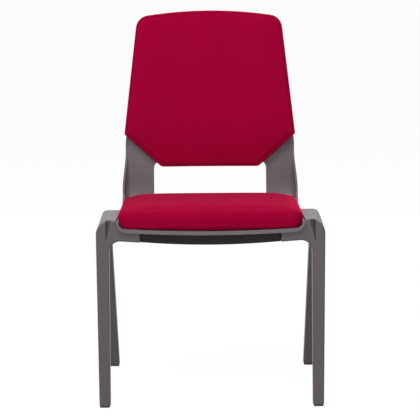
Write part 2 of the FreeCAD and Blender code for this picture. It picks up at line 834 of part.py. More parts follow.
def shell_section(place, half_width, rim, bow, depth):
    """Closed section of the shell: a bowed sheet whose edges turn up in quarter rounds.

    Its rim is one wall thick; depth is how thick it is at the middle.
    """
    wall = S.shell_wall.value
    reach = (half_width - wall - rim) / (1 - rim / bow)
    centre_x = reach * (1 - rim / bow)
    rim_level = bow - math.sqrt((bow - rim) ** 2 - centre_x ** 2)
    outer_bow = bow + depth
    outer_rim = (outer_bow ** 2 - half_width ** 2 - (bow - rim_level) ** 2) / (2 * (outer_bow - half_width))

    def ring(centre, radius, full, side):
        sine_end = centre / (full - radius)
        cosine_end = (bow - rim_level) / (full - radius)
        size = math.hypot(1 + sine_end, cosine_end)
        rim_end = place(side * (centre + radius), rim_level)
        middle = place(side * (centre + radius * (1 + sine_end) / size), rim_level - radius * cosine_end / size)
        bow_end = place(side * (centre + radius * sine_end), rim_level - radius * cosine_end)
        return rim_end, middle, bow_end

    inner = {side: ring(centre_x, rim, bow, side) for side in (-1, 1)}
    outer = {side: ring(half_width - outer_rim, outer_rim, outer_bow, side) for side in (-1, 1)}
    return Part.Wire([
        arc(inner[-1][2], place(0, 0), inner[1][2]),
        arc(inner[1][2], inner[1][1], inner[1][0]),
        line(inner[1][0], outer[1][0]),
        arc(outer[1][0], outer[1][1], outer[1][2]),
        arc(outer[1][2], place(0, -depth), outer[-1][2]),
        arc(outer[-1][2], outer[-1][1], outer[-1][0]),
        line(outer[-1][0], inner[-1][0]),
        arc(inner[-1][0], inner[-1][1], inner[-1][2]),
    ])


def pan_section(spot, depth):
    """Section of the lip, the pan or the bend."""
    return shell_section(placer(*spot), S.shell_width.value / 2, S.pan_rim_radius.value,
                         S.pan_bow_radius.value, depth)


def panel_half_width(level):
    """Half width of the shell's back at a height, without its top corners."""
    if level < PANEL_LEVEL.value:
        return blend(S.shell_width.value, S.panel_width.value, back_share(level)) / 2
    share = (level - PANEL_LEVEL.value) / (SHELL_TOP.value - PANEL_LEVEL.value)
    return blend(S.panel_width.value, S.panel_top_width.value, share) / 2


def back_section(level):
    """Section of the uprights or the panel."""
    share = (level - LINE.bend_end.z) / (RIM_LEVEL.value - LINE.bend_end.z)
    rim = blend(S.pan_rim_radius.value, S.back_rim_radius.value, min(share, 1.0))
    return shell_section(placer(*LINE.at_level(level)), panel_half_width(level), rim, back_bow(level),
                         S.shell_wall.value)


def prism(edges):
    """Solid behind a closed front-view outline, right through the chair."""
    return Part.Face(Part.Wire(edges)).extrude(Vector(0, FAR, 0))


def arched_edges(half, low, side_top, top, radius):
    """Front-view outline with square feet, rounded upper corners and an arched top."""
    bend = radius * (1 - HALF_ROOT)
    corners = [Vector(side * half, 0, low) for side in (-1, 1)]
    return [
        line(*corners),
        line(corners[1], Vector(half, 0, side_top - radius)),
        arc(Vector(half, 0, side_top - radius), Vector(half - bend, 0, side_top - bend),
            Vector(half - radius, 0, side_top)),
        arc(Vector(half - radius, 0, side_top), Vector(0, 0, top), Vector(radius - half, 0, side_top)),
        arc(Vector(radius - half, 0, side_top), Vector(bend - half, 0, side_top - bend),
            Vector(-half, 0, side_top - radius)),
        line(Vector(-half, 0, side_top - radius), corners[0]),
    ]


def opening_tool():
    """Solid that cuts the opening between the uprights."""
    return prism(arched_edges(S.opening_width.value / 2, OPENING_BOTTOM.value,
                              OPENING_TOP.value - S.opening_arch.value, OPENING_TOP.value,
                              S.opening_corner.value))


def top_tool():
    """Solid that trims the panel to its arched top and rounded corners."""
    side_top = SHELL_TOP.value - S.top_arch.value
    low = side_top - S.panel_corner.value
    half = panel_half_width(low) + S.shell_wall.value / 2
    kept = prism(arched_edges(half, low - FAR, side_top, SHELL_TOP.value, S.panel_corner.value))
    return Part.makeBox(FAR, FAR, FAR, Vector(-FAR / 2, 0, low)).cut(kept)


def seat_place():
    """Placement of the seat frame in the chair."""
    return Placement(LINE.start, Rotation(Vector(1, 0, 0), -S.seat_slope.value))


def upright_cylinder(x, y, low, high, diameter):
    """Cylinder made in the seat frame, square to the pan, and set in the chair."""
    cylinder = Part.makeCylinder(diameter / 2, high - low, Vector(x, y, low))
    cylinder.Placement = seat_place()
    return cylinder


def bolt_sites():
    """Places of the four frame bolts in the seat frame."""
    return [(side * BOLT_X, y) for side in SIDES.values() for y in BEAM_PLACES.values()]


def seat_screw_sites():
    """Places of the four seat pad screws in the seat frame."""
    half = S.seat_screw_spread / 2
    rows = (S.seat_screw_front, S.seat_screw_front + S.seat_screw_pitch)
    return [(side * half, y) for side in SIDES.values() for y in rows]


def back_screw_sites():
    """Places and axes of the back pad's screws: point on the panel's front face, way into the pad."""
    sites = []
    for row in range(3):
        level = BACK_SCREW_LOW.value + row * S.back_screw_pitch.value
        origin, angle = LINE.at_level(level)
        bow = back_bow(level)
        for side in SIDES.values():
            x = side * S.back_screw_spread.value / 2
            tilt = math.asin(x / bow)
            axis = LINE.across(angle) * math.cos(tilt) - Vector(math.sin(tilt), 0, 0)
            sites.append((placer(origin, angle)(x, bow_rise(x, bow)), axis))
    return sites


def shell_bosses():
    """Bosses under the pan for the threaded inserts."""
    top = pan_rise(BOLT_X).value - S.shell_wall.value / 2
    return [upright_cylinder(x.value, y.value, BOSS_END.value, top, S.boss_diameter.value)
            for x, y in bolt_sites()]


def shell_holes():
    """Bores for the inserts, the seat screws and the back screws."""
    clear = 2 * S.fit_clearance.value
    wall = S.shell_wall.value
    holes = []
    for x, y in bolt_sites():
        holes.append(upright_cylinder(x.value, y.value, BOSS_END.value - wall,
                                      BOSS_END.value + S.insert_length.value, S.insert_diameter.value))
    for x, y in seat_screw_sites():
        level = pan_rise(x).value
        holes.append(upright_cylinder(x.value, y.value, level - 2 * wall, level + wall,
                                      S.screw_diameter.value + clear))
    for point, axis in back_screw_sites():
        radius = (S.back_screw_diameter.value + clear) / 2
        holes.append(Part.makeCylinder(radius, 3 * wall, point - axis * 2 * wall, axis))
    return holes


def solid_node(label, shape):
    """Node whose shape comes from the functions above."""
    node = doc.addObject("Part::Feature", label)
    node.Shape = shape
    return node


def seat_back_shell():
    """One moulding: pan with front lip, bend, two uprights and back panel."""
    wall = S.shell_wall.value
    pan_ends = [LINE.on_pan(S.lip_depth.value), LINE.on_pan(S.pan_run.value)]
    lip_ends = [LINE.on_pan(0), LINE.on_pan(S.lip_depth.value)]
    pan = Part.makeLoft([pan_section(end, wall) for end in pan_ends], True, True)
    lip = Part.makeLoft([pan_section(end, S.lip_height.value) for end in lip_ends], True, True)
    bend = [pan_section(LINE.in_bend(step / 5), wall) for step in range(6)]
    middle = PANEL_LEVEL.value
    upright_levels = (blend(LINE.bend_end.z, RIM_LEVEL.value, 0.5), RIM_LEVEL.value, middle)
    uprights = [back_section(level) for level in upright_levels]
    panel = [back_section(blend(middle, SHELL_TOP.value + wall, step / 3)) for step in range(4)]
    lower = Part.makeLoft(bend + uprights, True, False).cut(opening_tool())
    upper = Part.makeLoft(panel, True, False).cut(top_tool())
    shape = pan.fuse([lip, lower, upper, *shell_bosses()]).cut(shell_holes())
    return solid_node("seat_back_shell", shape)


# Cross beams

def cross_beam(place):
    """Beam under the pan: bowed top and bottom, open cells below, a tenon into the arm at each end."""
    body = new_body(f"{place}_cross_beam")
    beam_y = BEAM_PLACES[place]
    depth = S.shell_wall + S.pan_clearance
    toe = S.toe_in * (beam_y + S.beam_depth / 2) / S.foot_span
    end = ARM_X - toe - S.fit_clearance
    top = pan_rise(end, depth)
    low = S.beam_bow - depth - S.beam_height
    bow = (end * end + S.beam_bow * S.beam_bow) / (2 * S.beam_bow)
    front = new_sketch(body, "front_view", "XZ_Plane", (as_size(0), as_size(0), S.beam_depth / 2 - beam_y))
    draw_outline(front, [(-end, low, bow), (end, low), (end, top, -S.pan_bow_radius - depth), (-end, top)])
    pad(body, front, S.beam_depth, reverse=True)
    round_edges(body, lambda e: runs_along(e, (0, 1, 0)) and near(e.CenterOfMass.z, low.value), S.beam_corner)
    cut_cells(body, beam_y, end)
    tenon_x = ARM_X + S.tenon_length
    for name, side in SIDES.items():
        tenon = new_sketch(body, f"{name}_tenon", "XZ_Plane",
                           (as_size(0), as_size(0), S.tenon_depth / 2 - beam_y))
        corners = box_outline(end - S.beam_block, tenon_x, -S.tenon_drop - S.tenon_height, -S.tenon_drop)
        draw_outline(tenon, on_side(corners, side))
        pad(body, tenon, S.tenon_depth, reverse=True)
    bores = new_sketch(body, "bolt_bores", "XY_Plane")
    draw_circles(bores, [(side * BOLT_X, beam_y) for side in SIDES.values()],
                 S.bolt_diameter + 2 * S.fit_clearance)
    pocket(body, bores, both=True)
    place_in_seat(body)
    return body


def cut_cells(body, beam_y, end):
    """Open the beam from below into a row of cells between ribs."""
    span = 2 * (end - S.beam_block)
    pitch = (span + S.beam_wall) / S.beam_cells
    half = S.beam_depth / 2 - S.beam_wall
    floor = -S.shell_wall - S.pan_clearance - S.beam_wall
    cell = new_sketch(body, "cell", "XY_Plane", (as_size(0), as_size(0), floor))
    draw_outline(cell, box_outline(-span / 2, pitch - S.beam_wall - span / 2, beam_y - half, beam_y + half))
    cut = pocket(body, cell, S.beam_height)
    row = body.newObject("PartDesign::LinearPattern", f"{body.Name}_cells")
    row.Originals = [cut]
    row.Direction = (cell, ["H_Axis"])
    bind(row, "Length", span + S.beam_wall - pitch)
    bind(row, "Occurrences", S.beam_cells)
    body.Tip = row
    doc.recompute()


# Fasteners, each group made in the seat frame

def cylinder(name, site, low, height, diameter):
    """Bound cylinder square to the pan."""
    item = doc.addObject("Part::Cylinder", name)
    bind(item, "Radius", as_size(diameter) / 2)
    bind(item, "Height", height)
    for letter, size in zip("xyz", (*site, low)):
        bind(item, f"Placement.Base.{letter}", size)
    return item


def socket(name, site, low, height, across):
    """Bound six-sided recess for a key."""
    item = doc.addObject("Part::Prism", name)
    item.Polygon = 6
    bind(item, "Circumradius", across / 2)
    bind(item, "Height", height)
    for letter, size in zip("xyz", (*site, low)):
        bind(item, f"Placement.Base.{letter}", size)
    return item


def joined(name, items):
    """Union of primitives."""
    union = doc.addObject("Part::MultiFuse", name)
    union.Shapes = items
    return union


def less(name, base, tool):
    """One shape less another."""
    cut = doc.addObject("Part::Cut", name)
    cut.Base = base
    cut.Tool = tool
    return cut


def fastener_group(label, make, sites):
    """One node of equal fasteners at a list of sites."""
    group = doc.addObject("Part::Compound", label)
    group.Links = [make(f"{label}_{i}", site) for i, site in enumerate(sites, start=1)]
    place_in_seat(group)
    return group


def headed(name, site, seat, tip, head_height, head_diameter, diameter):
    """Screw that points up: head below its seat, shank to its tip, key recess in the head."""
    head = cylinder(f"{name}_head", site, seat - head_height, head_height, head_diameter)
    shank = cylinder(f"{name}_shank", site, seat - head_height / 2, tip - seat + head_height / 2, diameter)
    key = socket(f"{name}_key", site, seat - head_height - S.key_depth, 2 * S.key_depth, S.key_size)
    return less(name, joined(f"{name}_solid", [head, shank]), key)


def frame_bolt(name, site):
    """Bolt through an arm and a tenon into the shell's insert."""
    return headed(name, site, -S.bolt_seat, BOSS_END + S.bolt_bite, S.bolt_head_height,
                  S.bolt_head_diameter, S.bolt_diameter)


def shell_insert(name, site):
    """Threaded insert in a boss of the shell."""
    outer = cylinder(f"{name}_outer", site, BOSS_END, S.insert_length - S.stem_clearance,
                     S.insert_diameter - 2 * S.stem_clearance)
    bore = cylinder(f"{name}_bore", site, BOSS_END - 1, S.insert_length + 2,
                    S.bolt_diameter + 2 * S.stem_clearance)
    return less(name, outer, bore)


PAD_HALF = S.shell_width / 2 - S.pad_side_gap
PAD_BASE_HALF = PAD_HALF - S.pad_base_draw
SEAT_BOARD_HALF = PAD_BASE_HALF - S.seat_board_margin
SEAT_BOARD_LOW = 2 * S.pad_clearance + S.cover_thickness
SEAT_BOARD_HIGH = SEAT_BOARD_LOW + S.seat_board_thickness
SEAT_SCREW_RISE = pan_rise(S.seat_screw_spread / 2)
TEE_SEAT = SEAT_SCREW_RISE + SEAT_BOARD_HIGH - S.tee_flange_thickness - S.pad_clearance


def seat_screw(name, site):
    """Screw through the pan into the seat board's tee nut."""
    seat = SEAT_SCREW_RISE - S.shell_wall - S.pan_clearance
    return headed(name, site, seat, TEE_SEAT, S.screw_head_height, S.screw_head_diameter, S.screw_diameter)


def tee_nut(name, site):
    """Flanged nut let into the top of the seat board."""
    flange = cylinder(f"{name}_flange", site, TEE_SEAT, S.tee_flange_thickness, S.tee_flange_diameter)
    barrel = cylinder(f"{name}_barrel", site, TEE_SEAT - S.tee_length, S.tee_length + S.tee_flange_thickness / 2,
                      S.tee_barrel_diameter)
    bore = cylinder(f"{name}_bore", site, TEE_SEAT - 2 * S.tee_length, 4 * S.tee_length,
                    S.screw_diameter + 2 * S.stem_clearance)
    return less(name, joined(f"{name}_solid", [flange, barrel]), bore)


# Seat pad

def seat_board():
    """Bent plywood board that carries the seat pad."""
    body = new_body("seat_board")
    half = SEAT_BOARD_HALF
    front = new_sketch(body, "front_view", "XZ_Plane", (as_size(0), as_size(0), -S.seat_board_setback))
    low = pan_rise(half, -SEAT_BOARD_LOW)
    high = pan_rise(half, -SEAT_BOARD_HIGH)
    draw_outline(front, [
        (-half, low, S.pan_bow_radius - SEAT_BOARD_LOW),
        (half, low),
        (half, high, SEAT_BOARD_HIGH - S.pan_bow_radius),
        (-half, high),
    ])
    pad(body, front, S.seat_board_length, reverse=True)
    round_edges(body, lambda e: runs_along(e, (0, 0, 1)), S.seat_board_corner)
    barrels = new_sketch(body, "barrel_holes", "XY_Plane")
    draw_circles(barrels, seat_screw_sites(), S.tee_barrel_diameter + 2 * S.stem_clearance)
    pocket(body, barrels, both=True)
    flanges = new_sketch(body, "flange_seats", "XY_Plane", (as_size(0), as_size(0), TEE_SEAT - S.stem_clearance))
    draw_circles(flanges, seat_screw_sites(), S.tee_flange_diameter + 2 * S.stem_clearance)
    pocket(body, flanges, S.seat_board_thickness, reverse=True)
    place_in_seat(body)
    return body


def round_in(distance, radius):
    """How far a round of a given radius draws in at a distance from the end."""
    if distance >= radius:
        return 0.0
    return radius - math.sqrt(radius * radius - (radius - distance) ** 2)


def pad_section(y, base, wide, top, base_mid, top_mid):
    """Closed section of the seat pad; base, wide and top are (x, height) on the right side."""
    def place(x, height):
        return Vector(x, y, height)

    low_bend = (blend(base[0], wide[0], 0.62), blend(base[1], wide[1], 0.31))
    high_bend = (blend(wide[0], top[0], 0.28), blend(wide[1], top[1], 0.62))
    edges = [arc(place(-base[0], base[1]), place(0, base_mid), place(base[0], base[1]))]
    right = [(base, low_bend, wide), (wide, high_bend, top)]
    edges += [arc(*(place(x, v) for x, v in points)) for points in right]
    edges.append(arc(place(*top), place(0, top_mid), place(-top[0], top[1])))
    edges += [arc(*(place(-x, v) for x, v in reversed(points))) for points in reversed(right)]
    return Part.Wire(edges)


def seat_pad(inset, gap):
    """Seat pad in the seat frame: drawn in by inset all round, its base at a gap above the pan."""
    front = S.pad_setback.value + inset
    length = S.pad_length.value - 2 * inset
    plan = S.pad_plan_radius.value - inset
    heel = S.pad_heel_radius.value - inset
    shoulder = S.pad_shoulder.value - inset
    height = S.pad_height.value - inset
    share = (S.pad_wide_level.value - gap) / (height - gap)
    steps = [1 - math.cos(math.radians(turn)) for turn in (0, 25, 50, 70, 90)]
    toe_runs = [plan * step for step in steps]
    heel_runs = [length - heel * step for step in reversed(steps)]

    def section(run):
        end = min(run, length - run)
        drawn = round_in(end, plan)
        lift = round_in(length - run, heel) + round_in(run, S.pad_toe_radius.value)
        drop = round_in(end, shoulder)
        base_x = PAD_BASE_HALF.value - inset - drawn
        base = (base_x, bow_rise(base_x, S.pan_bow_radius.value) + gap + lift)
        wide_x = PAD_HALF.value - inset - drawn
        top = (wide_x - shoulder, height - drop)
        wide = (wide_x, blend(base[1], top[1], share))
        return pad_section(front + run, base, wide, top, gap + lift, top[1] + S.pad_crown.value)

    toe = Part.makeLoft([section(run) for run in toe_runs], True, False)
    middle = Part.makeLoft([section(run) for run in (toe_runs[-1], heel_runs[0])], True, True)
    heel_end = Part.makeLoft([section(run) for run in heel_runs], True, False)
    return toe.fuse([middle, heel_end])


def seat_slab(half, low, high, front, rear, corner):
    """Bowed block over the pan with rounded upright corners, in the seat frame."""
    bow = S.pan_bow_radius.value
    ends = {v: Vector(half, front, bow_rise(half, bow) + v) for v in (low, high)}
    mirrored = {v: Vector(-half, front, end.z) for v, end in ends.items()}
    face = Part.Face(Part.Wire([
        arc(mirrored[low], Vector(0, front, low), ends[low]),
        line(ends[low], ends[high]),
        arc(ends[high], Vector(0, front, high), mirrored[high]),
        line(mirrored[high], mirrored[low]),
    ]))
    block = face.extrude(Vector(0, rear - front, 0))
    return block.makeFillet(corner, [edge for edge in block.Edges if runs_along(edge, (0, 0, 1))])


def in_seat(label, shape):
    """Node of a shape made in the seat frame."""
    node = solid_node(label, shape)
    place_in_seat(node)
    return node


def seat_foam():
    """Foam of the seat pad, hollowed below for the board."""
    inset = S.cover_thickness.value + S.pad_clearance.value
    clear = S.pad_clearance.value
    foam = seat_pad(inset, SEAT_BOARD_LOW.value)
    front = S.seat_board_setback.value
    room = seat_slab(SEAT_BOARD_HALF.value + clear, -SEAT_BOARD_HIGH.value,
                     SEAT_BOARD_HIGH.value + clear, front - clear,
                     front + S.seat_board_length.value + clear, S.seat_board_corner.value)
    return in_seat("seat_foam", foam.cut(room))


def seat_cover():
    """Fabric cover of the seat pad, turned in under the board as a hem."""
    skin = S.cover_thickness.value
    gap = S.pad_clearance.value
    hem = S.hem_width.value
    front = S.pad_setback.value
    rear = front + S.pad_length.value - S.pad_heel_radius.value
    mouth = seat_slab(PAD_BASE_HALF.value - hem, -SEAT_BOARD_HIGH.value, SEAT_BOARD_HIGH.value,
                      front + hem, rear - hem, S.seat_board_corner.value)
    return in_seat("seat_cover", seat_pad(0.0, gap).cut([seat_pad(skin, gap + skin), mouth]))


# Back pad

def back_slab(rear, edge, middle):
    """Bowed block on the panel: rear face at a constant gap, front face crowned from edge to middle."""
    half = S.back_pad_width.value / 2 + S.hem_width.value
    low = BACK_PAD_BOTTOM.value - S.hem_width.value
    high = BACK_PAD_TOP.value + S.hem_width.value
    sections = []
    for step in range(5):
        level = blend(low, high, step / 4)
        place = placer(*LINE.at_level(level))
        rise = bow_rise(half, back_bow(level))
        sections.append(Part.Wire([
            arc(place(-half, rise + rear), place(0, rear), place(half, rise + rear)),
            line(place(half, rise + rear), place(half, rise + edge)),
            arc(place(half, rise + edge), place(0, middle), place(-half, rise + edge)),
            line(place(-half, rise + edge), place(-half, rise + rear)),
        ]))
    return Part.makeLoft(sections, True, False)


def back_outline(inset):
    """Front-view prism of the back pad, drawn in by inset, with rounded corners."""
    side_top = BACK_PAD_TOP.value - S.top_arch.value
    levels = (BACK_PAD_BOTTOM.value, BACK_PAD_WIDE_LEVEL.value, side_top)
    widths = (S.back_pad_low_width.value, S.back_pad_width.value, S.back_pad_top_width.value)
    radii = (S.back_pad_low_corner.value, S.back_pad_wide_corner.value, S.back_pad_corner.value)
    right = [Vector(width / 2, 0, level) for width, level in zip(widths, levels)]
    left = [Vector(-point.x, 0, point.z) for point in right]
    outline = Part.Wire([
        line(left[0], right[0]),
        line(right[0], right[1]),
        line(right[1], right[2]),
        arc(right[2], Vector(0, 0, BACK_PAD_TOP.value), left[2]),
        line(left[2], left[1]),
        line(left[1], left[0]),
    ])
    if inset:
        outline = outline.makeOffset2D(-inset)
    block = Part.Face(outline).extrude(Vector(0, FAR, 0))
    for level, radius in zip(levels, radii):
        edges = [edge for edge in block.Edges if runs_along(edge, (0, 1, 0))
                 and near(edge.CenterOfMass.z, level, inset + S.back_pad_low_corner.value)]
        block = block.makeFillet(max(radius - inset, S.cover_thickness.value), edges)
    return block


def rim_edges(solid, way):
    """Edges round the pad's front face (way -1) or its rear face (way 1)."""
    faces = [face for face in solid.Faces if way * face.normalAt(*face_middle(face)).y > HALF_ROOT]
    return max(faces, key=lambda face: face.Area).OuterWire.Edges


def face_middle(face):
    """Middle of a face's parameters."""
    low_u, high_u, low_v, high_v = face.ParameterRange
    return (low_u + high_u) / 2, (low_v + high_v) / 2


def back_pad(inset, rear):
    """Back pad: crowned block in the pad's outline, its front and rear rims rounded."""
    block = back_slab(rear, S.back_pad_edge.value - inset, S.back_pad_crown.value - inset)
    solid = block.common(back_outline(inset))
    solid = solid.makeFillet(S.back_pad_shoulder.value - inset, rim_edges(solid, -1))
    return solid.makeFillet(S.back_pad_heel.value - inset, rim_edges(solid, 1))


BACK_BOARD_LOW = S.back_pad_gap + S.cover_thickness + S.pad_clearance
BACK_BOARD_HIGH = BACK_BOARD_LOW + S.back_board_thickness


def back_screw_shapes(diameter, head_diameter, clear):
    """Back screws as solids: head behind the shell, shank into the board."""
    shapes = []
    reach = S.shell_wall.value + S.pad_clearance.value
    for point, axis in back_screw_sites():
        seat = point - axis * reach
        tip = reach + BACK_BOARD_HIGH.value - S.back_screw_shy.value + clear
        shank = Part.makeCylinder(diameter / 2, tip, seat, axis)
        head = Part.makeCylinder(head_diameter / 2, S.back_screw_head_height.value, seat, -axis)
        shapes.append(shank.fuse(head))
    return shapes


def back_screws():
    """The six screws that hold the back pad, as one node."""
    screws = back_screw_shapes(S.back_screw_diameter.value, S.back_screw_head_diameter.value, 0.0)
    return solid_node("back_screws", Part.makeCompound(screws))


def back_board():
    """Board that carries the back pad, with pilot holes for its screws."""
    low = BACK_BOARD_LOW.value
    high = BACK_BOARD_HIGH.value
    clear = S.stem_clearance.value
    board = back_slab(low, high, high).common(back_outline(S.back_board_margin.value))
    pilots = back_screw_shapes(S.back_screw_diameter.value + 2 * clear, S.back_screw_head_diameter.value, clear)
    return solid_node("back_board", board.cut(pilots))


def back_foam():
    """Foam of the back pad, hollowed behind for the board."""
    clear = S.pad_clearance.value
    foam = back_pad(S.cover_thickness.value + clear, BACK_BOARD_LOW.value)
    high = BACK_BOARD_HIGH.value + clear
    room = back_slab(-high, high, high).common(back_outline(S.back_board_margin.value - clear))
    return solid_node("back_foam", foam.cut(room))


def back_cover():
    """Fabric cover of the back pad, turned in behind the board as a hem."""
    skin = S.cover_thickness.value
    gap = S.back_pad_gap.value
    high = BACK_BOARD_HIGH.value
    mouth = back_slab(-high, high, high).common(back_outline(S.hem_width.value))
    return solid_node("back_cover", back_pad(0.0, gap).cut([back_pad(skin, gap + skin), mouth]))


# Assembly, checks and export

def build_nodes():
    """Make every node of the chair."""
    nodes = [seat_back_shell()]
    for name, side in SIDES.items():
        nodes.append(leg_frame(name, side))
        nodes += [glide(name, side, place) for place in BEAM_PLACES]
    nodes += [cross_beam(place) for place in BEAM_PLACES]
    nodes.append(fastener_group("frame_bolts", frame_bolt, bolt_sites()))
    nodes.append(fastener_group("shell_inserts", shell_insert, bolt_sites()))
    nodes.append(fastener_group("seat_screws", seat_screw, seat_screw_sites()))
    nodes.append(fastener_group("seat_tee_nuts", tee_nut, seat_screw_sites()))
    nodes += [seat_board(), seat_foam(), seat_cover()]
    nodes += [back_board(), back_foam(), back_cover(), back_screws()]
    doc.recompute()
    return nodes


def check(nodes):
    """Stop before anything is written if an object failed or a node's shape is not sound."""
    for item in doc.Objects:
        if "Invalid" in item.State or "Error" in item.State:
            raise ValueError(f"{item.Label} did not build")
    for node in nodes:
        if node.Shape.isNull() or not node.Shape.isValid():
            raise ValueError(f"{node.Label} has no sound shape")


parts = build_nodes()
check(parts)
os.makedirs("parts", exist_ok=True)
for node in parts:
    node.Shape.exportStep(f"parts/{node.Label}.step")
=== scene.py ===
"""Looks of a visitor chair: moulded frame, upholstered seat and back, and a plain studio."""

import logging
import math
from dataclasses import dataclass, field
from enum import Enum
from typing import Any, Iterator, Optional, Sequence, Union

import bmesh
import bpy
from mathutils import Matrix, Vector


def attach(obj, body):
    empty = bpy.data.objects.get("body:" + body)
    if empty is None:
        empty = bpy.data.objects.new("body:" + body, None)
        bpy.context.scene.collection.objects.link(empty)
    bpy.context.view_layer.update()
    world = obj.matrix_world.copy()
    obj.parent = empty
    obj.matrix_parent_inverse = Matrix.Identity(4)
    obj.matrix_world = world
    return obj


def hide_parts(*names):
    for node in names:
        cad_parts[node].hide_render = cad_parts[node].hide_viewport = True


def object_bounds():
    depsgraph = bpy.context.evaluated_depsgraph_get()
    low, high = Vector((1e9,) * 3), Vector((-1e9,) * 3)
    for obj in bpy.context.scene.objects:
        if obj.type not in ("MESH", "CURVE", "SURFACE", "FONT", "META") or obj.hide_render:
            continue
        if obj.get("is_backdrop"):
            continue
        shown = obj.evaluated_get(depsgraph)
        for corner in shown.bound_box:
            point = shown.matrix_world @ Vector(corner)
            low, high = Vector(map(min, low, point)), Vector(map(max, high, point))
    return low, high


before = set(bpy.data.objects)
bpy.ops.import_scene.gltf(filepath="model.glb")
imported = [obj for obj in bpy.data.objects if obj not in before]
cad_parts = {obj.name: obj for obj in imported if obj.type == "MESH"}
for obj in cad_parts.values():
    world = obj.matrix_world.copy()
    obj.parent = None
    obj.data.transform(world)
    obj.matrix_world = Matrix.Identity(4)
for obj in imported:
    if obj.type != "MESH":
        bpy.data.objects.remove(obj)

CAD_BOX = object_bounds()
LOG = logging.getLogger("visitor_chair")
WHITE = (1.0, 1.0, 1.0)
BLACK = (0.0, 0.0, 0.0)
Colour = tuple[float, float, float]
Spot = tuple[float, float]
Number = Union[float, "Signal"]


# Shader building

class Signal:
    """One output socket whose arithmetic adds Math nodes to its tree."""

    def __init__(self, shader: "Shader", socket: bpy.types.NodeSocket) -> None:
        """Wrap a socket of a shader's tree."""
        self.shader = shader
        self.socket = socket

    def _math(self, operation: str, first: Number, second: Number) -> "Signal":
        """Add a Math node on two values."""
        return self.shader.node("ShaderNodeMath", {"operation": operation}, {0: first, 1: second})

    def __add__(self, other: Number) -> "Signal":
        """Sum."""
        return self._math("ADD", self, other)

    def __radd__(self, other: Number) -> "Signal":
        """Sum with a plain number first."""
        return self._math("ADD", other, self)

    def __sub__(self, other: Number) -> "Signal":
        """Difference."""
        return self._math("SUBTRACT", self, other)

    def __rsub__(self, other: Number) -> "Signal":
        """Difference with a plain number first."""
        return self._math("SUBTRACT", other, self)

    def __mul__(self, other: Number) -> "Signal":
        """Product."""
        return self._math("MULTIPLY", self, other)

    def __rmul__(self, other: Number) -> "Signal":
        """Product with a plain number first."""
        return self._math("MULTIPLY", other, self)

    def sine(self) -> "Signal":
        """Sine of an angle in radians."""
        return self._math("SINE", self, 0.0)

    def largest(self, other: Number) -> "Signal":
        """Larger of two values."""
        return self._math("MAXIMUM", self, other)

    def span(self, low: float, high: float) -> "Signal":
        """Stretch a value from 0 to 1 to a range."""
        return self * (high - low) + low


class Shader:
    """Node tree of one material or of the world."""

    def __init__(self, owner: Union[bpy.types.Material, bpy.types.World]) -> None:
        """Start an empty tree on its owner."""
        self.owner = owner
        owner.use_nodes = True
        self.tree = owner.node_tree
        self.tree.nodes.clear()

    @classmethod
    def of_material(cls, name: str) -> "Shader":
        """Empty tree of a new material."""
        return cls(bpy.data.materials.new(name))

    def add(self, kind: str, settings: Optional[dict[str, Any]] = None,
            inputs: Optional[dict[Any, Any]] = None) -> bpy.types.Node:
        """Add a node.

        Args:
            kind: The node's type.
            settings: Properties that are set before the sockets; a ramp's stops go under "stops".
            inputs: Values or signals by socket name or number.

        Returns:
            The node.
        """
        made = self.tree.nodes.new(kind)
        for key, value in (settings or {}).items():
            if key == "stops":
                self._set_stops(made, value)
            else:
                setattr(made, key, value)
        for key, value in (inputs or {}).items():
            if isinstance(value, Signal):
                self.tree.links.new(value.socket, made.inputs[key])
            else:
                made.inputs[key].default_value = value
        return made

    def node(self, kind: str, settings: Optional[dict[str, Any]] = None,
             inputs: Optional[dict[Any, Any]] = None, output: Any = 0) -> Signal:
        """Add a node and give one of its outputs, by name or number."""
        return Signal(self, self.add(kind, settings, inputs).outputs[output])

    @staticmethod
    def _set_stops(ramp: bpy.types.Node, stops: Sequence[tuple[float, Colour]]) -> None:
        """Set a colour ramp's stops."""
        elements = ramp.color_ramp.elements
        while len(elements) < len(stops):
            elements.new(0.5)
        for element, (place, colour) in zip(elements, stops):
            element.position = place
            element.color = (*colour, 1.0)

    def place(self) -> tuple[Signal, Signal, Signal, Signal]:
        """Object coordinates as one vector and as x, y and z.

        Returns:
            The vector, then its three parts.
        """
        vector = self.node("ShaderNodeTexCoord", output="Object")
        parts = self.add("ShaderNodeSeparateXYZ", inputs={0: vector}).outputs
        return vector, *(Signal(self, part) for part in parts)

    def noise(self, vector: Signal, scale: float, detail: float = 2.0, rough: float = 0.5) -> Signal:
        """Noise between 0 and 1 over the surface."""
        return self.node("ShaderNodeTexNoise", inputs={
            "Vector": vector, "Scale": scale, "Detail": detail, "Roughness": rough})

    def mix(self, share: Number, first: Any, second: Any) -> Signal:
        """Blend of two colours."""
        return self.node("ShaderNodeMix", {"data_type": "RGBA"}, {0: share, 6: first, 7: second}, output=2)

    def bump(self, height: Signal, strength: float, distance: float) -> Signal:
        """Normal from a height.

        Args:
            height: The height between 0 and 1.
            strength: How much of it shows.
            distance: The height of 1 in metres.

        Returns:
            The normal.
        """
        return self.node("ShaderNodeBump", inputs={
            "Height": height, "Strength": strength, "Distance": distance})

    def finish(self, inputs: dict[str, Any]) -> bpy.types.Material:
        """Close the tree with a Principled surface.

        Args:
            inputs: Values or signals of the surface's sockets.

        Returns:
            The material.
        """
        surface = self.node("ShaderNodeBsdfPrincipled", inputs=inputs)
        self.add("ShaderNodeOutputMaterial", inputs={"Surface": surface})
        return self.owner


def rgba(colour: Colour, gain: float = 1.0) -> tuple[float, float, float, float]:
    """Colour with full alpha, made lighter or darker by a gain."""
    return (*(min(part * gain, 1.0) for part in colour), 1.0)


# Finishes

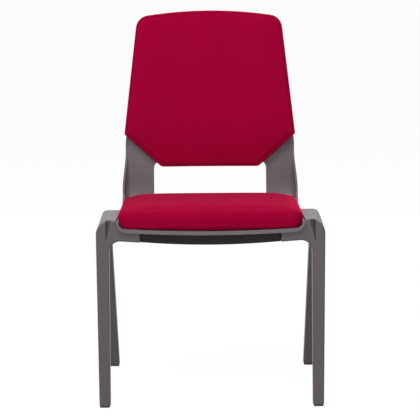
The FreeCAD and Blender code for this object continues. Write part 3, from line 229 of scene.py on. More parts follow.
@dataclass(frozen=True)
class MouldedPlastic:
    """Fine-grained moulded plastic."""

    name: str
    colour: Colour
    roughness: float = 0.44
    gloss: float = 0.5
    grain: float = 0.00055
    grain_height: float = 0.00006
    flow_scale: float = 9.0
    rub_scale: float = 26.0

    def material(self) -> bpy.types.Material:
        """Build the material: spark-eroded grain, faint flow mottling and rubbed patches."""
        shader = Shader.of_material(self.name)
        vector, _, _, _ = shader.place()
        flow = shader.noise(vector, self.flow_scale, 3.0)
        grain = shader.noise(vector, 1.0 / self.grain, 1.0, 0.6)
        rub = shader.noise(vector, self.rub_scale, 4.0, 0.65)
        base = shader.mix(flow, rgba(self.colour, 0.9), rgba(self.colour, 1.1))
        speckled = shader.mix(grain.span(-0.15, 0.25), base, rgba(self.colour, 1.5))
        return shader.finish({
            "Base Color": speckled,
            "Roughness": rub.span(self.roughness - 0.06, self.roughness + 0.08),
            "Specular IOR Level": self.gloss,
            "Normal": shader.bump(grain, 0.35, self.grain_height),
        })


@dataclass(frozen=True)
class WovenCloth:
    """Dense woven upholstery cloth with a short nap."""

    name: str
    colour: Colour
    pitch: float = 0.0016
    nap: float = 1.0
    nap_colour: Colour = (1.0, 0.035, 0.14)
    nap_roughness: float = 0.4
    yarn_scale: float = 700.0
    cloud_scale: float = 14.0
    weave_height: float = 0.0002

    def material(self) -> bpy.types.Material:
        """Build the material: warp and weft, mixed yarns and soft shading of the nap."""
        shader = Shader.of_material(self.name)
        vector, x, y, z = shader.place()
        turn = 2.0 * math.pi / self.pitch
        warp = (x * turn).sine()
        weft = ((y + z) * turn).sine()
        weave = (warp * weft).span(0.0, 0.5) + 0.5
        yarn = shader.noise(vector, self.yarn_scale, 2.0, 0.7)
        cloud = shader.noise(vector, self.cloud_scale, 3.0, 0.6)
        base = shader.mix(cloud, rgba(self.colour, 0.86), rgba(self.colour, 1.14))
        mixed = shader.mix(yarn.span(-0.1, 0.5), base, rgba(self.colour, 1.3))
        height = weave * 0.6 + yarn * 0.4
        return shader.finish({
            "Base Color": mixed,
            "Roughness": yarn.span(0.82, 0.98),
            "Specular IOR Level": 0.02,
            "Sheen Weight": self.nap,
            "Sheen Roughness": self.nap_roughness,
            "Sheen Tint": rgba(self.nap_colour),
            "Normal": shader.bump(height, 0.3, self.weave_height),
        })


@dataclass(frozen=True)
class PlatedSteel:
    """Plated or blackened steel of fasteners."""

    name: str
    colour: Colour
    roughness: float = 0.34
    mark_turn: float = 9000.0
    mark_height: float = 0.00002
    stain_scale: float = 160.0

    def material(self) -> bpy.types.Material:
        """Build the material: fine turning marks under a dull plating."""
        shader = Shader.of_material(self.name)
        vector, _, _, z = shader.place()
        marks = (z * self.mark_turn).sine()
        stain = shader.noise(vector, self.stain_scale, 3.0)
        return shader.finish({
            "Base Color": shader.mix(stain, rgba(self.colour, 0.85), rgba(self.colour, 1.1)),
            "Metallic": 1.0,
            "Roughness": stain.span(self.roughness - 0.06, self.roughness + 0.1),
            "Normal": shader.bump(marks, 0.15, self.mark_height),
        })


@dataclass(frozen=True)
class DullRubber:
    """Dull soft plastic of the glides."""

    name: str
    colour: Colour
    dust_colour: Colour = (0.22, 0.21, 0.2)
    dust_reach: float = 0.004
    scuff_scale: float = 220.0
    scuff_height: float = 0.0001

    def material(self) -> bpy.types.Material:
        """Build the material: scuffed and dusty, with a coarse skin."""
        shader = Shader.of_material(self.name)
        vector, _, _, z = shader.place()
        scuff = shader.noise(vector, self.scuff_scale, 4.0, 0.7)
        dust = shader.node("ShaderNodeValToRGB", {"stops": [(0.0, WHITE), (1.0, BLACK)]},
                           {0: z * (1.0 / self.dust_reach)})
        dusty = shader.node("ShaderNodeRGBToBW", inputs={0: dust}) * scuff
        return shader.finish({
            "Base Color": shader.mix(dusty * 0.5, rgba(self.colour), rgba(self.dust_colour)),
            "Roughness": scuff.span(0.6, 0.85),
            "Normal": shader.bump(scuff, 0.25, self.scuff_height),
        })


@dataclass(frozen=True)
class BentPlywood:
    """Raw bent plywood."""

    name: str
    colour: Colour
    stretch: tuple[float, float, float] = (60.0, 4.0, 60.0)
    pore_scale: float = 900.0
    grain_height: float = 0.0002

    def material(self) -> bpy.types.Material:
        """Build the material: grain drawn out along the board and fine pores."""
        shader = Shader.of_material(self.name)
        vector, _, _, _ = shader.place()
        long_grain = shader.node("ShaderNodeMapping", inputs={"Vector": vector, "Scale": self.stretch})
        grain = shader.noise(long_grain, 3.0, 5.0, 0.6)
        pores = shader.noise(vector, self.pore_scale, 2.0)
        return shader.finish({
            "Base Color": shader.mix(grain, rgba(self.colour, 0.75), rgba(self.colour, 1.15)),
            "Roughness": pores.span(0.55, 0.75),
            "Normal": shader.bump(grain, 0.2, self.grain_height),
        })


class Finish(Enum):
    """The chair's finishes."""

    FRAME = MouldedPlastic("anthracite_moulding", (0.092, 0.076, 0.087))
    # Painted light: the shell is the frame's anthracite plastic, made lighter to stand in for the light from
    # above on the reclined uprights.
    SHELL = MouldedPlastic("anthracite_shell_painted_light", (0.112, 0.093, 0.106), roughness=0.4)
    # Painted shade: the near-black colour stands in for the shadow that falls on the cross beams under the
    # seat pan.
    BEAM = MouldedPlastic("beam_moulding_painted_shade", (0.022, 0.018, 0.02), roughness=0.6, gloss=0.2)
    CLOTH = WovenCloth("crimson_cloth", (0.318, 0.0008, 0.031))
    THREAD = WovenCloth("crimson_thread", (0.22, 0.0008, 0.02), pitch=0.0006, nap=0.1)
    ZINC = PlatedSteel("zinc_plating", (0.52, 0.52, 0.53))
    BLACK_ZINC = PlatedSteel("black_plating", (0.06, 0.06, 0.062), roughness=0.42)
    BRASS = PlatedSteel("turned_brass", (0.62, 0.47, 0.2), roughness=0.3)
    GLIDE = DullRubber("glide_rubber", (0.022, 0.021, 0.022))
    PLYWOOD = BentPlywood("bent_plywood", (0.5, 0.34, 0.19))


class FinishRack:
    """Builds each finish once."""

    def __init__(self) -> None:
        """Start with no material built."""
        self._made: dict[Finish, bpy.types.Material] = {}

    def get(self, finish: Finish) -> bpy.types.Material:
        """Material of a finish."""
        if finish not in self._made:
            self._made[finish] = finish.value.material()
        return self._made[finish]


# Meshes of loops

@dataclass(frozen=True)
class EdgePoint:
    """A point of a pad's outline with its outward direction."""

    u: float
    v: float
    out_u: float
    out_v: float

    def inset(self, distance: float) -> Spot:
        """Place of the point when the outline is drawn in."""
        return self.u - self.out_u * distance, self.v - self.out_v * distance


def straight(start: Spot, end: Spot, step: float) -> list[EdgePoint]:
    """Points along a straight run, its end left out; the outside is on the right."""
    run_u, run_v = end[0] - start[0], end[1] - start[1]
    length = math.hypot(run_u, run_v)
    count = max(1, round(length / step))
    return [EdgePoint(start[0] + run_u * i / count, start[1] + run_v * i / count,
                      run_v / length, -run_u / length) for i in range(count)]


def bend(centre: Spot, radius: float, start: float, end: float, step: float) -> list[EdgePoint]:
    """Points along an outward arc between two angles in radians, its end left out."""
    count = max(3, round(radius * abs(end - start) / step))
    points = []
    for i in range(count):
        angle = start + (end - start) * i / count
        out_u, out_v = math.cos(angle), math.sin(angle)
        points.append(EdgePoint(centre[0] + radius * out_u, centre[1] + radius * out_v, out_u, out_v))
    return points


@dataclass(frozen=True)
class Funnel:
    """Loops that shrink from an outline to its middle and turn into ellipses on the way."""

    centre: Spot
    rim: Sequence[Spot]
    shares: Sequence[float]

    def loops(self) -> Iterator[list[Spot]]:
        """Loops from the outside to the middle, each as places in the plane."""
        half_u = max(abs(u - self.centre[0]) for u, _ in self.rim)
        half_v = max(abs(v - self.centre[1]) for _, v in self.rim)
        for share in self.shares:
            loop = []
            for u, v in self.rim:
                reach_u, reach_v = u - self.centre[0], v - self.centre[1]
                angle = math.atan2(reach_v / half_v, reach_u / half_u)
                oval_u, oval_v = half_u * math.cos(angle), half_v * math.sin(angle)
                loop.append((self.centre[0] + share * (share * reach_u + (1.0 - share) * oval_u),
                             self.centre[1] + share * (share * reach_v + (1.0 - share) * oval_v)))
            yield loop


def unfolded(loop: list[Spot], passes: int) -> list[Spot]:
    """Ease a loop's turns, so that the inset of a tight corner doesn't fold over itself.

    Args:
        loop: The places of a closed loop.
        passes: How often each place moves towards its two neighbours.

    Returns:
        The eased places.
    """
    for _ in range(passes):
        sides = zip(loop[-1:] + loop[:-1], loop, loop[1:] + loop[:1])
        loop = [((a[0] + 2 * b[0] + c[0]) / 4, (a[1] + 2 * b[1] + c[1]) / 4) for a, b, c in sides]
    return loop


def loops_to_mesh(name: str, loops: Sequence[Sequence[Vector]],
                  ends: tuple[Vector, Vector]) -> bpy.types.Object:
    """Closed mesh through a row of loops.

    Args:
        name: The object's name.
        loops: Loops of equal length, from the first end to the last.
        ends: Middle points that close the first and the last loop.

    Returns:
        The new object.
    """
    mesh = bpy.data.meshes.new(name)
    shape = bmesh.new()
    rows = [[shape.verts.new(point) for point in loop] for loop in loops]
    count = len(rows[0])
    for low, high in zip(rows, rows[1:]):
        for i in range(count):
            k = (i + 1) % count
            shape.faces.new((low[i], low[k], high[k], high[i]))
    for row, point in ((rows[0], ends[0]), (rows[-1], ends[1])):
        middle = shape.verts.new(point)
        for i in range(count):
            shape.faces.new((row[i], row[(i + 1) % count], middle))
    bmesh.ops.recalc_face_normals(shape, faces=shape.faces)
    for face in shape.faces:
        face.smooth = True
    shape.to_mesh(mesh)
    shape.free()
    piece = bpy.data.objects.new(name, mesh)
    bpy.context.scene.collection.objects.link(piece)
    return piece


@dataclass(frozen=True)
class Inflation:
    """Settings of the short cloth simulation that fills a pad."""

    pressure: float = 3.0
    cap: float = 0.003
    frames: int = 20
    stiffness: float = 30.0
    bending: float = 2.0
    evening: int = 40

    def fill(self, piece: bpy.types.Object, pinned: Sequence[int]) -> None:
        """Blow a pad up against its pinned points and keep the result in its mesh.

        Args:
            piece: The pad.
            pinned: Numbers of the points that stay where they are.
        """
        scene = bpy.context.scene
        group = piece.vertex_groups.new(name="held")
        group.add(list(pinned), 1.0, "REPLACE")
        cloth = piece.modifiers.new("fill", "CLOTH")
        settings = cloth.settings
        settings.vertex_group_mass = group.name
        settings.use_pressure = True
        settings.uniform_pressure_force = self.pressure
        settings.tension_stiffness = self.stiffness
        settings.compression_stiffness = self.stiffness
        settings.bending_stiffness = self.bending
        settings.effector_weights.gravity = 0.0
        cloth.point_cache.frame_end = self.frames
        rest = [vertex.co.copy() for vertex in piece.data.vertices]
        free = sorted(set(range(len(rest))) - set(pinned))
        for number in range(1, self.frames + 1):
            scene.frame_set(number)
        filled = piece.evaluated_get(bpy.context.evaluated_depsgraph_get()).data
        moved = [vertex.co.copy() for vertex in filled.vertices]
        piece.modifiers.remove(cloth)
        piece.vertex_groups.remove(group)
        scene.frame_set(1)
        shifts = self._even([end - start for start, end in zip(rest, moved)], piece.data, free)
        furthest = max(shift.length for shift in shifts)
        share = min(1.0, self.cap / max(furthest, 1e-9))
        for vertex, start, shift in zip(piece.data.vertices, rest, shifts):
            vertex.co = start + shift * share
        piece.data.update()
        LOG.info("%s: filled by up to %.1f mm", piece.name, furthest * share * 1000.0)

    def _even(self, shifts: list[Vector], mesh: bpy.types.Mesh, free: Sequence[int]) -> list[Vector]:
        """Spread the movement over each point's neighbours, so that the cloth lies without creases.

        Args:
            shifts: The movement of every point.
            mesh: The pad's mesh.
            free: Numbers of the points that are not held.

        Returns:
            The evened movement.
        """
        beside: list[list[int]] = [[] for _ in shifts]
        for edge in mesh.edges:
            first, second = edge.vertices
            beside[first].append(second)
            beside[second].append(first)
        for _ in range(self.evening):
            evened = list(shifts)
            for number in free:
                around = beside[number]
                evened[number] = sum((shifts[other] for other in around), Vector()) / len(around)
            shifts = evened
        return shifts


def soften(piece: bpy.types.Object, levels: int = 1) -> None:
    """Finish a pad with a subdivision surface."""
    smooth = piece.modifiers.new("soften", "SUBSURF")
    smooth.levels = levels
    smooth.render_levels = levels


# Sub-assemblies

@dataclass
class SeatPad:
    """Upholstered seat cushion in the tilted seat frame, in metres."""

    front: float = -0.2615
    level: float = 0.4085
    slope: float = math.radians(3.8)
    setback: float = 0.0025
    length: float = 0.396
    half_width: float = 0.2105
    corner: float = 0.024
    bow: float = 3.0
    gap: float = 0.0006
    base_draw: float = 0.0315
    toe_draw: float = 0.005
    heel_draw: float = 0.029
    rim_draw: float = 0.0175
    rim_radius: float = 0.0146
    rim_level: float = 0.0212
    wide_level: float = 0.030
    shoulder_level: float = 0.047
    shoulder: float = 0.016
    crown: float = 0.0105
    ease: float = 0.016
    step: float = 0.007
    base_shares: tuple[float, ...] = (0.2, 0.4, 0.6, 0.8, 0.92, 1.0)
    shoulder_turns: tuple[float, ...] = (0.0, 18.0, 36.0, 54.0, 72.0, 90.0)
    top_shares: tuple[float, ...] = (0.975, 0.95, 0.92, 0.88, 0.83, 0.77, 0.7, 0.6, 0.48, 0.35, 0.2, 0.08)
    filling: Inflation = Inflation()

    @property
    def middle(self) -> float:
        """Place of the cushion's middle along the seat."""
        return self.setback + self.length / 2

    def outline(self) -> list[EdgePoint]:
        """Plan outline, counter-clockwise from the front left corner."""
        half, low, high, r = self.half_width, self.setback, self.setback + self.length, self.corner
        points = straight((r - half, low), (half - r, low), self.step)
        points += bend((half - r, low + r), r, -math.pi / 2, 0.0, self.step)
        points += straight((half, low + r), (half, high - r), self.step)
        points += bend((half - r, high - r), r, 0.0, math.pi / 2, self.step)
        points += straight((half - r, high), (r - half, high), self.step)
        points += bend((r - half, high - r), r, math.pi / 2, math.pi, self.step)
        points += straight((-half, high - r), (-half, low + r), self.step)
        points += bend((r - half, low + r), r, math.pi, 1.5 * math.pi, self.step)
        return points

    def place(self, x: float, run: float, height: float) -> Vector:
        """Point of the seat frame in the chair."""
        sine, cosine = math.sin(self.slope), math.cos(self.slope)
        back = self.front + run * cosine + height * sine
        return Vector((x, back, self.level - run * sine + height * cosine))

    def base_level(self, x: float) -> float:
        """Height of the cushion's underside over the pan's lowest line."""
        return self.gap + x * x / (2.0 * self.bow)

    def top_level(self, x: float, run: float) -> float:
        """Height of the crowned top, which eases off towards all four sides."""
        half = self.half_width - self.shoulder
        low = self.setback + self.shoulder
        high = self.setback + self.length - self.shoulder
        rise = 1.0
        for reach in (half - x, half + x, run - low, high - run):
            rise *= 1.0 - math.exp(-max(reach, 0.0) / self.ease)
        return self.shoulder_level + self.crown * rise

    def draw(self, point: EdgePoint) -> float:
        """How far the underside is drawn in at a point, as a share of the draw at the sides."""
        end = self.toe_draw if point.out_v < 0 else self.heel_draw
        return point.out_u ** 2 + end / self.base_draw * point.out_v ** 2

    def side_curve(self) -> list[Spot]:
        """Inset and height of the lower side: along the pan's turned-up rim, then out over it."""
        curve = []
        for turn in (0.0, 25.0, 45.0, 62.0, 78.0):
            sine, cosine = math.sin(math.radians(turn)), math.cos(math.radians(turn))
            curve.append((self.rim_draw - self.rim_radius * sine, self.rim_level - self.rim_radius * cosine))
        over = self.wide_level - self.rim_level
        curve.append((self.rim_draw - self.rim_radius - 0.0008, self.rim_level + 0.2 * over))
        curve.append((0.0008, self.rim_level + 0.6 * over))
        return curve

    def loops(self) -> list[list[Vector]]:
        """Loops from the middle of the underside, round the side, to the middle of the top."""
        outline = self.outline()
        middle = self.middle
        base = [p.inset(self.base_draw * self.draw(p)) for p in outline]
        loops = []
        for share in self.base_shares:
            loops.append([self.place(u * share, middle + (v - middle) * share, self.base_level(u * share))
                          for u, v in base])
        for inset, level in self.side_curve():
            loops.append([self.place(*p.inset(inset * self.draw(p)), level) for p in outline])
        for turn in self.shoulder_turns:
            sine, cosine = math.sin(math.radians(turn)), math.cos(math.radians(turn))
            level = self.wide_level + (self.shoulder_level - self.wide_level) * sine
            loops.append([self.place(*p.inset(self.shoulder * (1 - cosine)), level) for p in outline])
        top = [p.inset(self.shoulder) for p in outline]
        for loop in Funnel((0.0, middle), top, self.top_shares).loops():
            loops.append([self.place(u, v, self.top_level(u, v)) for u, v in loop])
        return loops

    def build(self) -> bpy.types.Object:
        """Make the cushion.

        Returns:
            The cushion as one closed piece.
        """
        loops = self.loops()
        ends = (self.place(0.0, self.middle, self.base_level(0.0)),
                self.place(0.0, self.middle, self.top_level(0.0, self.middle)))
        piece = loops_to_mesh("seat_cushion", loops, ends)
        count = len(loops[0])
        held_loops = len(self.base_shares) + len(self.side_curve()) + 1
        held = list(range(count * held_loops)) + [count * len(loops)]
        self.filling.fill(piece, held)
        soften(piece)
        return piece

    def dress(self, rack: FinishRack) -> None:
        """Build the cushion, give it its cloth and set it in the frame."""
        piece = self.build()
        piece.data.materials.append(rack.get(Finish.CLOTH))
        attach(piece, "root")
        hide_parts("seat_cover", "seat_foam")
        LOG.info("seat cushion: %d points", len(piece.data.vertices))


@dataclass
class BackPad:
    """Upholstered back cushion on the curved panel, in metres."""

    front: float = -0.2615
    level: float = 0.4085
    slope: float = math.radians(3.8)
    pan_run: float = 0.372
    bend_radius: float = 0.065
    recline_low: float = math.radians(7.0)
    recline_top: float = math.radians(14.0)
    shell_top: float = 0.864
    pan_bow: float = 3.0
    back_bow: float = 1.08
    panel_level: float = 0.579
    foot: float = 0.496
    foot_half: float = 0.118
    foot_corner: float = 0.012
    wide: float = 0.576
    wide_half: float = 0.2072
    wide_corner: float = 0.006
    head: float = 0.869
    head_half: float = 0.175
    head_corner: float = 0.032
    arch: float = 0.014
    gap: float = 0.001
    edge: float = 0.0245
    crown: float = 0.0075
    ease: float = 0.024
    seam: float = 0.005
    step: float = 0.006
    sink: float = 0.03
    flat_ring: int = 7
    seam_ring: int = 10
    eased: int = 2
    rear_shares: tuple[float, ...] = (0.25, 0.5, 0.75, 0.92)
    front_shares: tuple[float, ...] = (0.975, 0.95, 0.92, 0.88, 0.83, 0.76, 0.68, 0.58, 0.47, 0.35, 0.22, 0.1)
    filling: Inflation = Inflation()

    @property
    def middle(self) -> float:
        """Height of the point that the loops close in on."""
        return (self.wide + self.head) / 2 - self.sink

    @property
    def arch_radius(self) -> float:
        """Radius of the arched top."""
        return (self.head_half ** 2 + self.arch ** 2) / (2 * self.arch)

    @property
    def corners(self) -> tuple[Spot, Spot, Spot]:
        """Unrounded corners of the right side: foot, widest point and head."""
        head = (self.head_half, self.head - self.arch)
        return (self.foot_half, self.foot), (self.wide_half, self.wide), head

    def outline(self) -> list[EdgePoint]:
        """Front outline, counter-clockwise from the middle of the lower edge."""
        right = list(self._right_half())
        left = [EdgePoint(-p.u, p.v, -p.out_u, p.out_v) for p in reversed(right)]
        return right + left[:-1]

    def _right_half(self) -> Iterator[EdgePoint]:
        """Right half of the outline from the lower middle to the top middle."""
        foot, wide, head = self.corners
        low_end, low_arc, low_start = self._corner((0.0, self.foot), foot, wide, self.foot_corner)
        wide_end, wide_arc, wide_start = self._corner(foot, wide, head, self.wide_corner)
        side_end, head_arc, arch_angle = self._head_corner()
        arch_centre = (0.0, self.head - self.arch_radius)
        yield from straight((0.0, self.foot), low_end, self.step)
        yield from low_arc
        yield from straight(low_start, wide_end, self.step)
        yield from wide_arc
        yield from straight(wide_start, side_end, self.step)
        yield from head_arc
        yield from bend(arch_centre, self.arch_radius, arch_angle, math.pi / 2, self.step)
        yield EdgePoint(0.0, self.head, 0.0, 1.0)

    def _head_corner(self) -> tuple[Spot, list[EdgePoint], float]:
        """Round the corner between the side and the arched top.

        Returns:
            Where the round begins, its points, and the angle on the arch where it ends.
        """
        _, wide, head = self.corners
        radius, r = self.arch_radius, self.head_corner
        low = self.head - radius
        run = math.hypot(head[0] - wide[0], head[1] - wide[1])
        along = ((head[0] - wide[0]) / run, (head[1] - wide[1]) / run)
        out = (along[1], -along[0])
        start = (wide[0] - out[0] * r, wide[1] - out[1] * r - low)
        half_b = along[0] * start[0] + along[1] * start[1]
        rest = start[0] ** 2 + start[1] ** 2 - (radius - r) ** 2
        reach = -half_b + math.sqrt(half_b ** 2 - rest)
        centre = (start[0] + along[0] * reach, start[1] + along[1] * reach + low)
        arch_angle = math.atan2(centre[1] - low, centre[0])
        points = bend(centre, r, math.atan2(out[1], out[0]), arch_angle, self.step / 2)
        return (centre[0] + out[0] * r, centre[1] + out[1] * r), points, arch_angle

    def _corner(self, before: Spot, at: Spot, after: Spot,
                radius: float) -> tuple[Spot, list[EdgePoint], Spot]:
        """Round a corner of the outline.

        Args:
            before: The corner before it.
            at: The corner itself.
            after: The corner after it.
            radius: The round's radius.

        Returns:
            Where the round begins, its points, and where it ends.
        """
        angle_in = math.atan2(at[1] - before[1], at[0] - before[0])
        angle_out = math.atan2(after[1] - at[1], after[0] - at[0])
        reach = radius * math.tan((angle_out - angle_in) / 2)
        begin = (at[0] - reach * math.cos(angle_in), at[1] - reach * math.sin(angle_in))
        end = (at[0] + reach * math.cos(angle_out), at[1] + reach * math.sin(angle_out))
        centre = (begin[0] - radius * math.sin(angle_in), begin[1] + radius * math.cos(angle_in))
        points = bend(centre, radius, angle_in - math.pi / 2, angle_out - math.pi / 2, self.step / 2)
        return begin, points, end

    def _line(self) -> tuple[float, float, float, float]:
        """Start, climb angle at the start and radius of the panel's middle line."""
        low = math.pi / 2 - self.recline_low
        high = math.pi / 2 - self.recline_top
        sine, cosine = math.sin(self.slope), math.cos(self.slope)
        y = self.front + self.pan_run * cosine + self.bend_radius * (sine + math.sin(low))
        z = self.level - self.pan_run * sine + self.bend_radius * (cosine - math.cos(low))
        return y, z, low, (self.shell_top - z) / (math.cos(high) - math.cos(low))

    def place(self, x: float, z: float, depth: float) -> Vector:
        """Point over the panel.

        Args:
            x: Place across the chair.
            z: Height above the floor.
            depth: Distance in front of the panel's face.

        Returns:
            The point in the chair.
        """
        start_y, start_z, low, radius = self._line()
        share = min(max((z - start_z) / (self.panel_level - start_z), 0.0), 1.0)
        bow = 1.0 / self.pan_bow + (1.0 / self.back_bow - 1.0 / self.pan_bow) * share
        reach = depth + x * x * bow / 2.0
        angle = math.acos(math.cos(low) + (z - start_z) / radius)
        foot = z - math.cos(angle) * reach
        angle = math.acos(math.cos(low) + (foot - start_z) / radius)
        y = start_y + radius * (math.sin(low) - math.sin(angle))
        return Vector((x, y - math.sin(angle) * reach, z))

    def front_depth(self, x: float, z: float) -> float:
        """Depth of the crowned front, which eases off towards every side."""
        radius = self.arch_radius
        edge_share, edge_depth = self.profile()[-1]
        border = edge_share * self.seam
        reaches = [z - self.foot - border, radius - math.hypot(x, z - self.head + radius) - border]
        for low, high in zip(self.corners, self.corners[1:]):
            run_u, run_v = high[0] - low[0], high[1] - low[1]
            length = math.hypot(run_u, run_v)
            slant = 1.0 + max(0.0, run_u / length) * abs(run_v / length)
            for u in (x, -x):
                reaches.append((run_u * (z - low[1]) - run_v * (u - low[0])) / length - border * slant)
        rise = 1.0
        for reach in reaches:
            rise *= 1.0 - math.exp(-max(reach, 0.0) / self.ease)
        return edge_depth + self.crown * rise

    def seam_inset(self, point: EdgePoint) -> float:
        """How far the seam lies inside the outline; the border shows wider at the slanted lower sides."""
        return self.seam * (1.0 + max(0.0, -point.out_v) * abs(point.out_u))

    def profile(self) -> list[Spot]:
        """Inset, as a share of the seam's, and depth from the rear face over the border to the panel."""
        edge = self.edge
        return [
            (1.7, self.gap), (0.9, self.gap + 0.0004), (0.35, 0.0022), (0.08, 0.0050), (0.0, 0.0090),
            (0.0, edge - 0.0095), (0.1, edge - 0.0060), (0.38, edge - 0.0034), (0.72, edge - 0.0026),
            (0.92, edge - 0.0034), (1.0, edge - 0.0046), (1.08, edge - 0.0032), (1.3, edge - 0.0013),
            (1.6, edge - 0.0002), (2.0, edge + 0.0006),
        ]

    def loops(self) -> tuple[list[list[Vector]], int]:
        """Loops from the middle of the rear to the middle of the front.

        Returns:
            The loops, and the number of the seam's loop.
        """
        outline = self.outline()
        middle = self.middle
        profile = self.profile()
        rear = [p.inset(self.seam_inset(p) * profile[0][0]) for p in outline]
        loops = []
        for share in self.rear_shares:
            loops.append([self.place(u * share, middle + (v - middle) * share, self.gap) for u, v in rear])
        panel = []
        for number, (share, depth) in enumerate(profile):
            passes = max(0, number - self.flat_ring) * self.eased
            panel = unfolded([p.inset(self.seam_inset(p) * share) for p in outline], passes)
            loops.append([self.place(u, v, depth) for u, v in panel])
        for loop in Funnel((0.0, middle), panel, self.front_shares).loops():
            loops.append([self.place(u, v, self.front_depth(u, v)) for u, v in loop])
        return loops, len(self.rear_shares) + self.seam_ring

    def build(self) -> tuple[bpy.types.Object, list[Vector]]:
        """Make the cushion.

        Returns:
            The cushion as one closed piece, and its seam line.
        """
        loops, seam = self.loops()
        ends = (self.place(0.0, self.middle, self.gap),
                self.place(0.0, self.middle, self.front_depth(0.0, self.middle)))
        piece = loops_to_mesh("back_cushion", loops, ends)
        count = len(loops[0])
        held = list(range(count * (seam + 2))) + [count * len(loops)]
        self.filling.fill(piece, held)
        soften(piece)
        return piece, loops[seam]

    def dress(self, rack: FinishRack) -> None:
        """Build the cushion and its seam, give them their cloth and set them in the frame."""
        piece, seam = self.build()
        piece.data.materials.append(rack.get(Finish.CLOTH))
        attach(piece, "root")
        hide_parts("back_cover", "back_foam")
        stitches = StitchRow(seam).build(rack.get(Finish.THREAD))
        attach(stitches, "root")
        LOG.info("back cushion: %d points, seam of %d points", len(piece.data.vertices), len(seam))


@dataclass
class StitchRow:
    """Row of lock stitches sunk in a seam."""

    path: Sequence[Vector]
    pitch: float = 0.0034
    thread: float = 0.0004
    length: float = 0.0026

    def _tree(self, material: bpy.types.Material) -> bpy.types.NodeTree:
        """Node tree that sets one stitch at each pitch along a path.

        Args:
            material: The thread's material.

        Returns:
            The tree, with its sizes as named inputs.
        """
        tree = bpy.data.node_groups.new("stitch_row", "GeometryNodeTree")
        face = tree.interface
        face.new_socket("Path", in_out="INPUT", socket_type="NodeSocketGeometry")
        for name in ("Pitch", "Thread", "Length"):
            face.new_socket(name, in_out="INPUT", socket_type="NodeSocketFloat")
        face.new_socket("Stitches", in_out="OUTPUT", socket_type="NodeSocketGeometry")
        start = tree.nodes.new("NodeGroupInput")
        end = tree.nodes.new("NodeGroupOutput")

        def add(kind: str, **inputs: Any) -> bpy.types.Node:
            """Add a node and link or set its sockets by name."""
            made = tree.nodes.new(kind)
            for key, value in inputs.items():
                socket = made.inputs[key.replace("_", " ")]
                if isinstance(value, bpy.types.NodeSocket):
                    tree.links.new(value, socket)
                else:
                    socket.default_value = value
            return made

        spread = tree.nodes.new("GeometryNodeCurveToPoints")
        spread.mode = "LENGTH"
        tree.links.new(start.outputs["Path"], spread.inputs["Curve"])
        tree.links.new(start.outputs["Pitch"], spread.inputs["Length"])
        bead = add("GeometryNodeMeshUVSphere", Segments=6, Rings=4, Radius=1.0)
        half = tree.nodes.new("ShaderNodeMath")
        half.operation = "MULTIPLY"
        half.inputs[1].default_value = 0.5
        tree.links.new(start.outputs["Length"], half.inputs[0])
        thread = start.outputs["Thread"]
        size = add("ShaderNodeCombineXYZ", X=thread, Y=thread, Z=half.outputs[0])
        placed = add("GeometryNodeInstanceOnPoints", Points=spread.outputs["Points"],
                     Instance=bead.outputs["Mesh"], Rotation=spread.outputs["Rotation"],
                     Scale=size.outputs[0])
        real = add("GeometryNodeRealizeInstances", Geometry=placed.outputs[0])
        dressed = add("GeometryNodeSetMaterial", Geometry=real.outputs[0], Material=material)
        tree.links.new(dressed.outputs[0], end.inputs[0])
        return tree

    def build(self, material: bpy.types.Material) -> bpy.types.Object:
        """Make the row as one plain mesh.

        Args:
            material: The thread's material.

        Returns:
            The row.
        """
        curve = bpy.data.curves.new("seam_path", "CURVE")
        curve.dimensions = "3D"
        spline = curve.splines.new("POLY")
        spline.points.add(len(self.path) - 1)
        for point, place in zip(spline.points, self.path):
            point.co = (*place, 1.0)
        spline.use_cyclic_u = True
        carrier = bpy.data.objects.new("seam_path", curve)
        bpy.context.scene.collection.objects.link(carrier)
        row = carrier.modifiers.new("stitches", "NODES")
        row.node_group = self._tree(material)
        sizes = {"Pitch": self.pitch, "Thread": self.thread, "Length": self.length}
        for item in row.node_group.interface.items_tree:
            if item.in_out == "INPUT" and item.name in sizes:
                row[item.identifier] = sizes[item.name]
        shown = carrier.evaluated_get(bpy.context.evaluated_depsgraph_get())
        mesh = bpy.data.meshes.new_from_object(shown)
        carrier.modifiers.remove(row)
        bpy.data.objects.remove(carrier)
        piece = bpy.data.objects.new("back_seam_stitches", mesh)
        bpy.context.scene.collection.objects.link(piece)
        return piece


@dataclass
class CarriedNodes:
    """The rigid pieces that keep their shape and get a finish."""

    finishes: dict[str, Finish] = field(default_factory=lambda: {
        "seat_back_shell": Finish.SHELL,
        "left_leg_frame": Finish.FRAME,
        "right_leg_frame": Finish.FRAME,
        "front_cross_beam": Finish.BEAM,
        "rear_cross_beam": Finish.BEAM,
        "front_left_glide": Finish.GLIDE,
        "front_right_glide": Finish.GLIDE,
        "rear_left_glide": Finish.GLIDE,
        "rear_right_glide": Finish.GLIDE,
        "frame_bolts": Finish.ZINC,
        "shell_inserts": Finish.BRASS,
        "seat_tee_nuts": Finish.ZINC,
        "seat_screws": Finish.BLACK_ZINC,
        "back_screws": Finish.BLACK_ZINC,
        "seat_board": Finish.PLYWOOD,
        "back_board": Finish.PLYWOOD,
    })

    def dress(self, rack: FinishRack) -> None:
        """Give every carried node its finish."""
        for name, finish in self.finishes.items():
            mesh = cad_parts[name].data
            mesh.materials.clear()
            mesh.materials.append(rack.get(finish))
            LOG.info("%s: %s", name, finish.value.name)


# Studio

@dataclass(frozen=True)
class SoftLight:
    """One soft lamp of the studio."""

    name: str
    place: tuple[float, float, float]
    target: tuple[float, float, float]
    size: tuple[float, float]
    watts: float

    def build(self) -> None:
        """Hang the lamp."""
        lamp = bpy.data.lights.new(self.name, "AREA")
        lamp.shape = "RECTANGLE"
        lamp.size, lamp.size_y = self.size
        lamp.energy = self.watts
        holder = bpy.data.objects.new(self.name, lamp)
        holder.location = self.place
        way = Vector(self.target) - Vector(self.place)
        holder.rotation_euler = way.to_track_quat("-Z", "Y").to_euler()
        bpy.context.scene.collection.objects.link(holder)


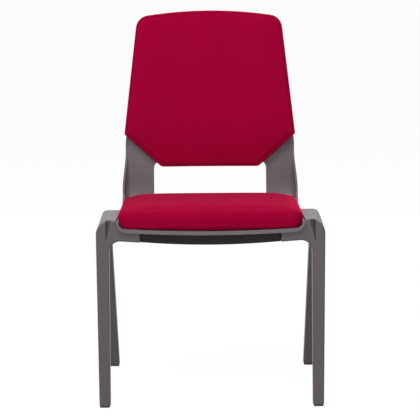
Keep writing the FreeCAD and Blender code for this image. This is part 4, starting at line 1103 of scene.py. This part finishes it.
@dataclass
class Studio:
    """White studio with soft light from above and a long lens."""

    camera_place: tuple[float, float, float] = (-0.00087, -5.2535, 1.2589)
    pitch: float = math.radians(9.122)
    roll: float = math.radians(-0.435)
    sensor: float = 36.0
    focal_share: float = 2250.0 / 420.0
    far: float = 60.0
    sky: float = 0.2
    floor_reach: float = 14.0
    floor_lit: Colour = (0.45, 0.45, 0.45)
    floor_seen: Colour = (0.97, 0.97, 0.97)
    floor_glow: float = 1.03
    glow_share: float = 0.93
    lamps: tuple[SoftLight, ...] = (
        SoftLight("key", (-0.7, -1.6, 2.7), (0.0, 0.0, 0.6), (2.4, 1.6), 66.0),
        SoftLight("behind", (0.0, 1.7, 2.5), (0.0, 0.0, 0.45), (2.2, 1.4), 31.0),
        SoftLight("front", (0.5, -4.6, 1.0), (0.0, 0.0, 0.5), (2.4, 1.6), 34.0),
    )

    def build(self) -> None:
        """Set the view, the floor, the sky, the lamps and the camera."""
        bpy.context.scene.view_settings.view_transform = "Standard"
        self._floor()
        self._sky()
        for lamp in self.lamps:
            lamp.build()
        self._camera()

    def _seen(self, shader: Shader) -> Signal:
        """1 for the rays that show the background itself."""
        rays = shader.add("ShaderNodeLightPath").outputs
        camera, glossy, clear = (Signal(shader, rays[name]) for name in (
            "Is Camera Ray", "Is Glossy Ray", "Is Transmission Ray"))
        return camera.largest(glossy).largest(clear)

    def _floor(self) -> None:
        """Lay a pale floor that keeps the chair's shadow."""
        shader = Shader.of_material("studio_floor")
        seen = self._seen(shader)
        pale = shader.mix(seen, rgba(self.floor_lit), rgba(self.floor_seen))
        matt = shader.node("ShaderNodeBsdfDiffuse", inputs={"Color": pale})
        glow = shader.node("ShaderNodeEmission", inputs={"Color": rgba(WHITE), "Strength": self.floor_glow})
        both = shader.node("ShaderNodeMixShader", inputs={0: seen * self.glow_share, 1: matt, 2: glow})
        shader.add("ShaderNodeOutputMaterial", inputs={"Surface": both})
        mesh = bpy.data.meshes.new("studio_floor")
        reach = self.floor_reach
        corners = [(-reach, -reach, 0.0), (reach, -reach, 0.0), (reach, reach, 0.0), (-reach, reach, 0.0)]
        mesh.from_pydata(corners, [], [(0, 1, 2, 3)])
        mesh.materials.append(shader.owner)
        floor = bpy.data.objects.new("studio_floor", mesh)
        bpy.context.scene.collection.objects.link(floor)
        floor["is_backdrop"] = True

    def _sky(self) -> None:
        """White backdrop that lights the chair only softly."""
        world = bpy.data.worlds.new("studio_sky")
        bpy.context.scene.world = world
        shader = Shader(world)
        strength = self._seen(shader) * (1.0 - self.sky) + self.sky
        shade = shader.node("ShaderNodeBackground", inputs={"Color": rgba(WHITE), "Strength": strength})
        shader.add("ShaderNodeOutputWorld", inputs={"Surface": shade})

    def _camera(self) -> None:
        """Set the camera at the photograph's viewing angle."""
        lens = bpy.data.cameras.new("studio_camera")
        lens.sensor_width = self.sensor
        lens.lens = self.focal_share * self.sensor
        lens.clip_end = self.far
        camera = bpy.data.objects.new("studio_camera", lens)
        turn = Matrix.Rotation(math.pi / 2 - self.pitch, 4, "X") @ Matrix.Rotation(self.roll, 4, "Z")
        camera.matrix_world = Matrix.Translation(self.camera_place) @ turn
        bpy.context.scene.collection.objects.link(camera)
        bpy.context.scene.camera = camera


def note_size() -> None:
    """Write the frame's box and the dressed chair's box."""
    boxes = {"cad": CAD_BOX, "visual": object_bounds()}
    plain = {name: [list(corner) for corner in box] for name, box in boxes.items()}
    LOG.info("boxes: %s", plain)


def main() -> None:
    """Build the studio and dress the chair piece by piece."""
    logging.basicConfig(level=logging.INFO, format="%(name)s: %(message)s")
    rack = FinishRack()
    Studio().build()
    for assembly in (CarriedNodes(), SeatPad(), BackPad()):
        assembly.dress(rack)
    note_size()


if __name__ == "__main__":
    main()
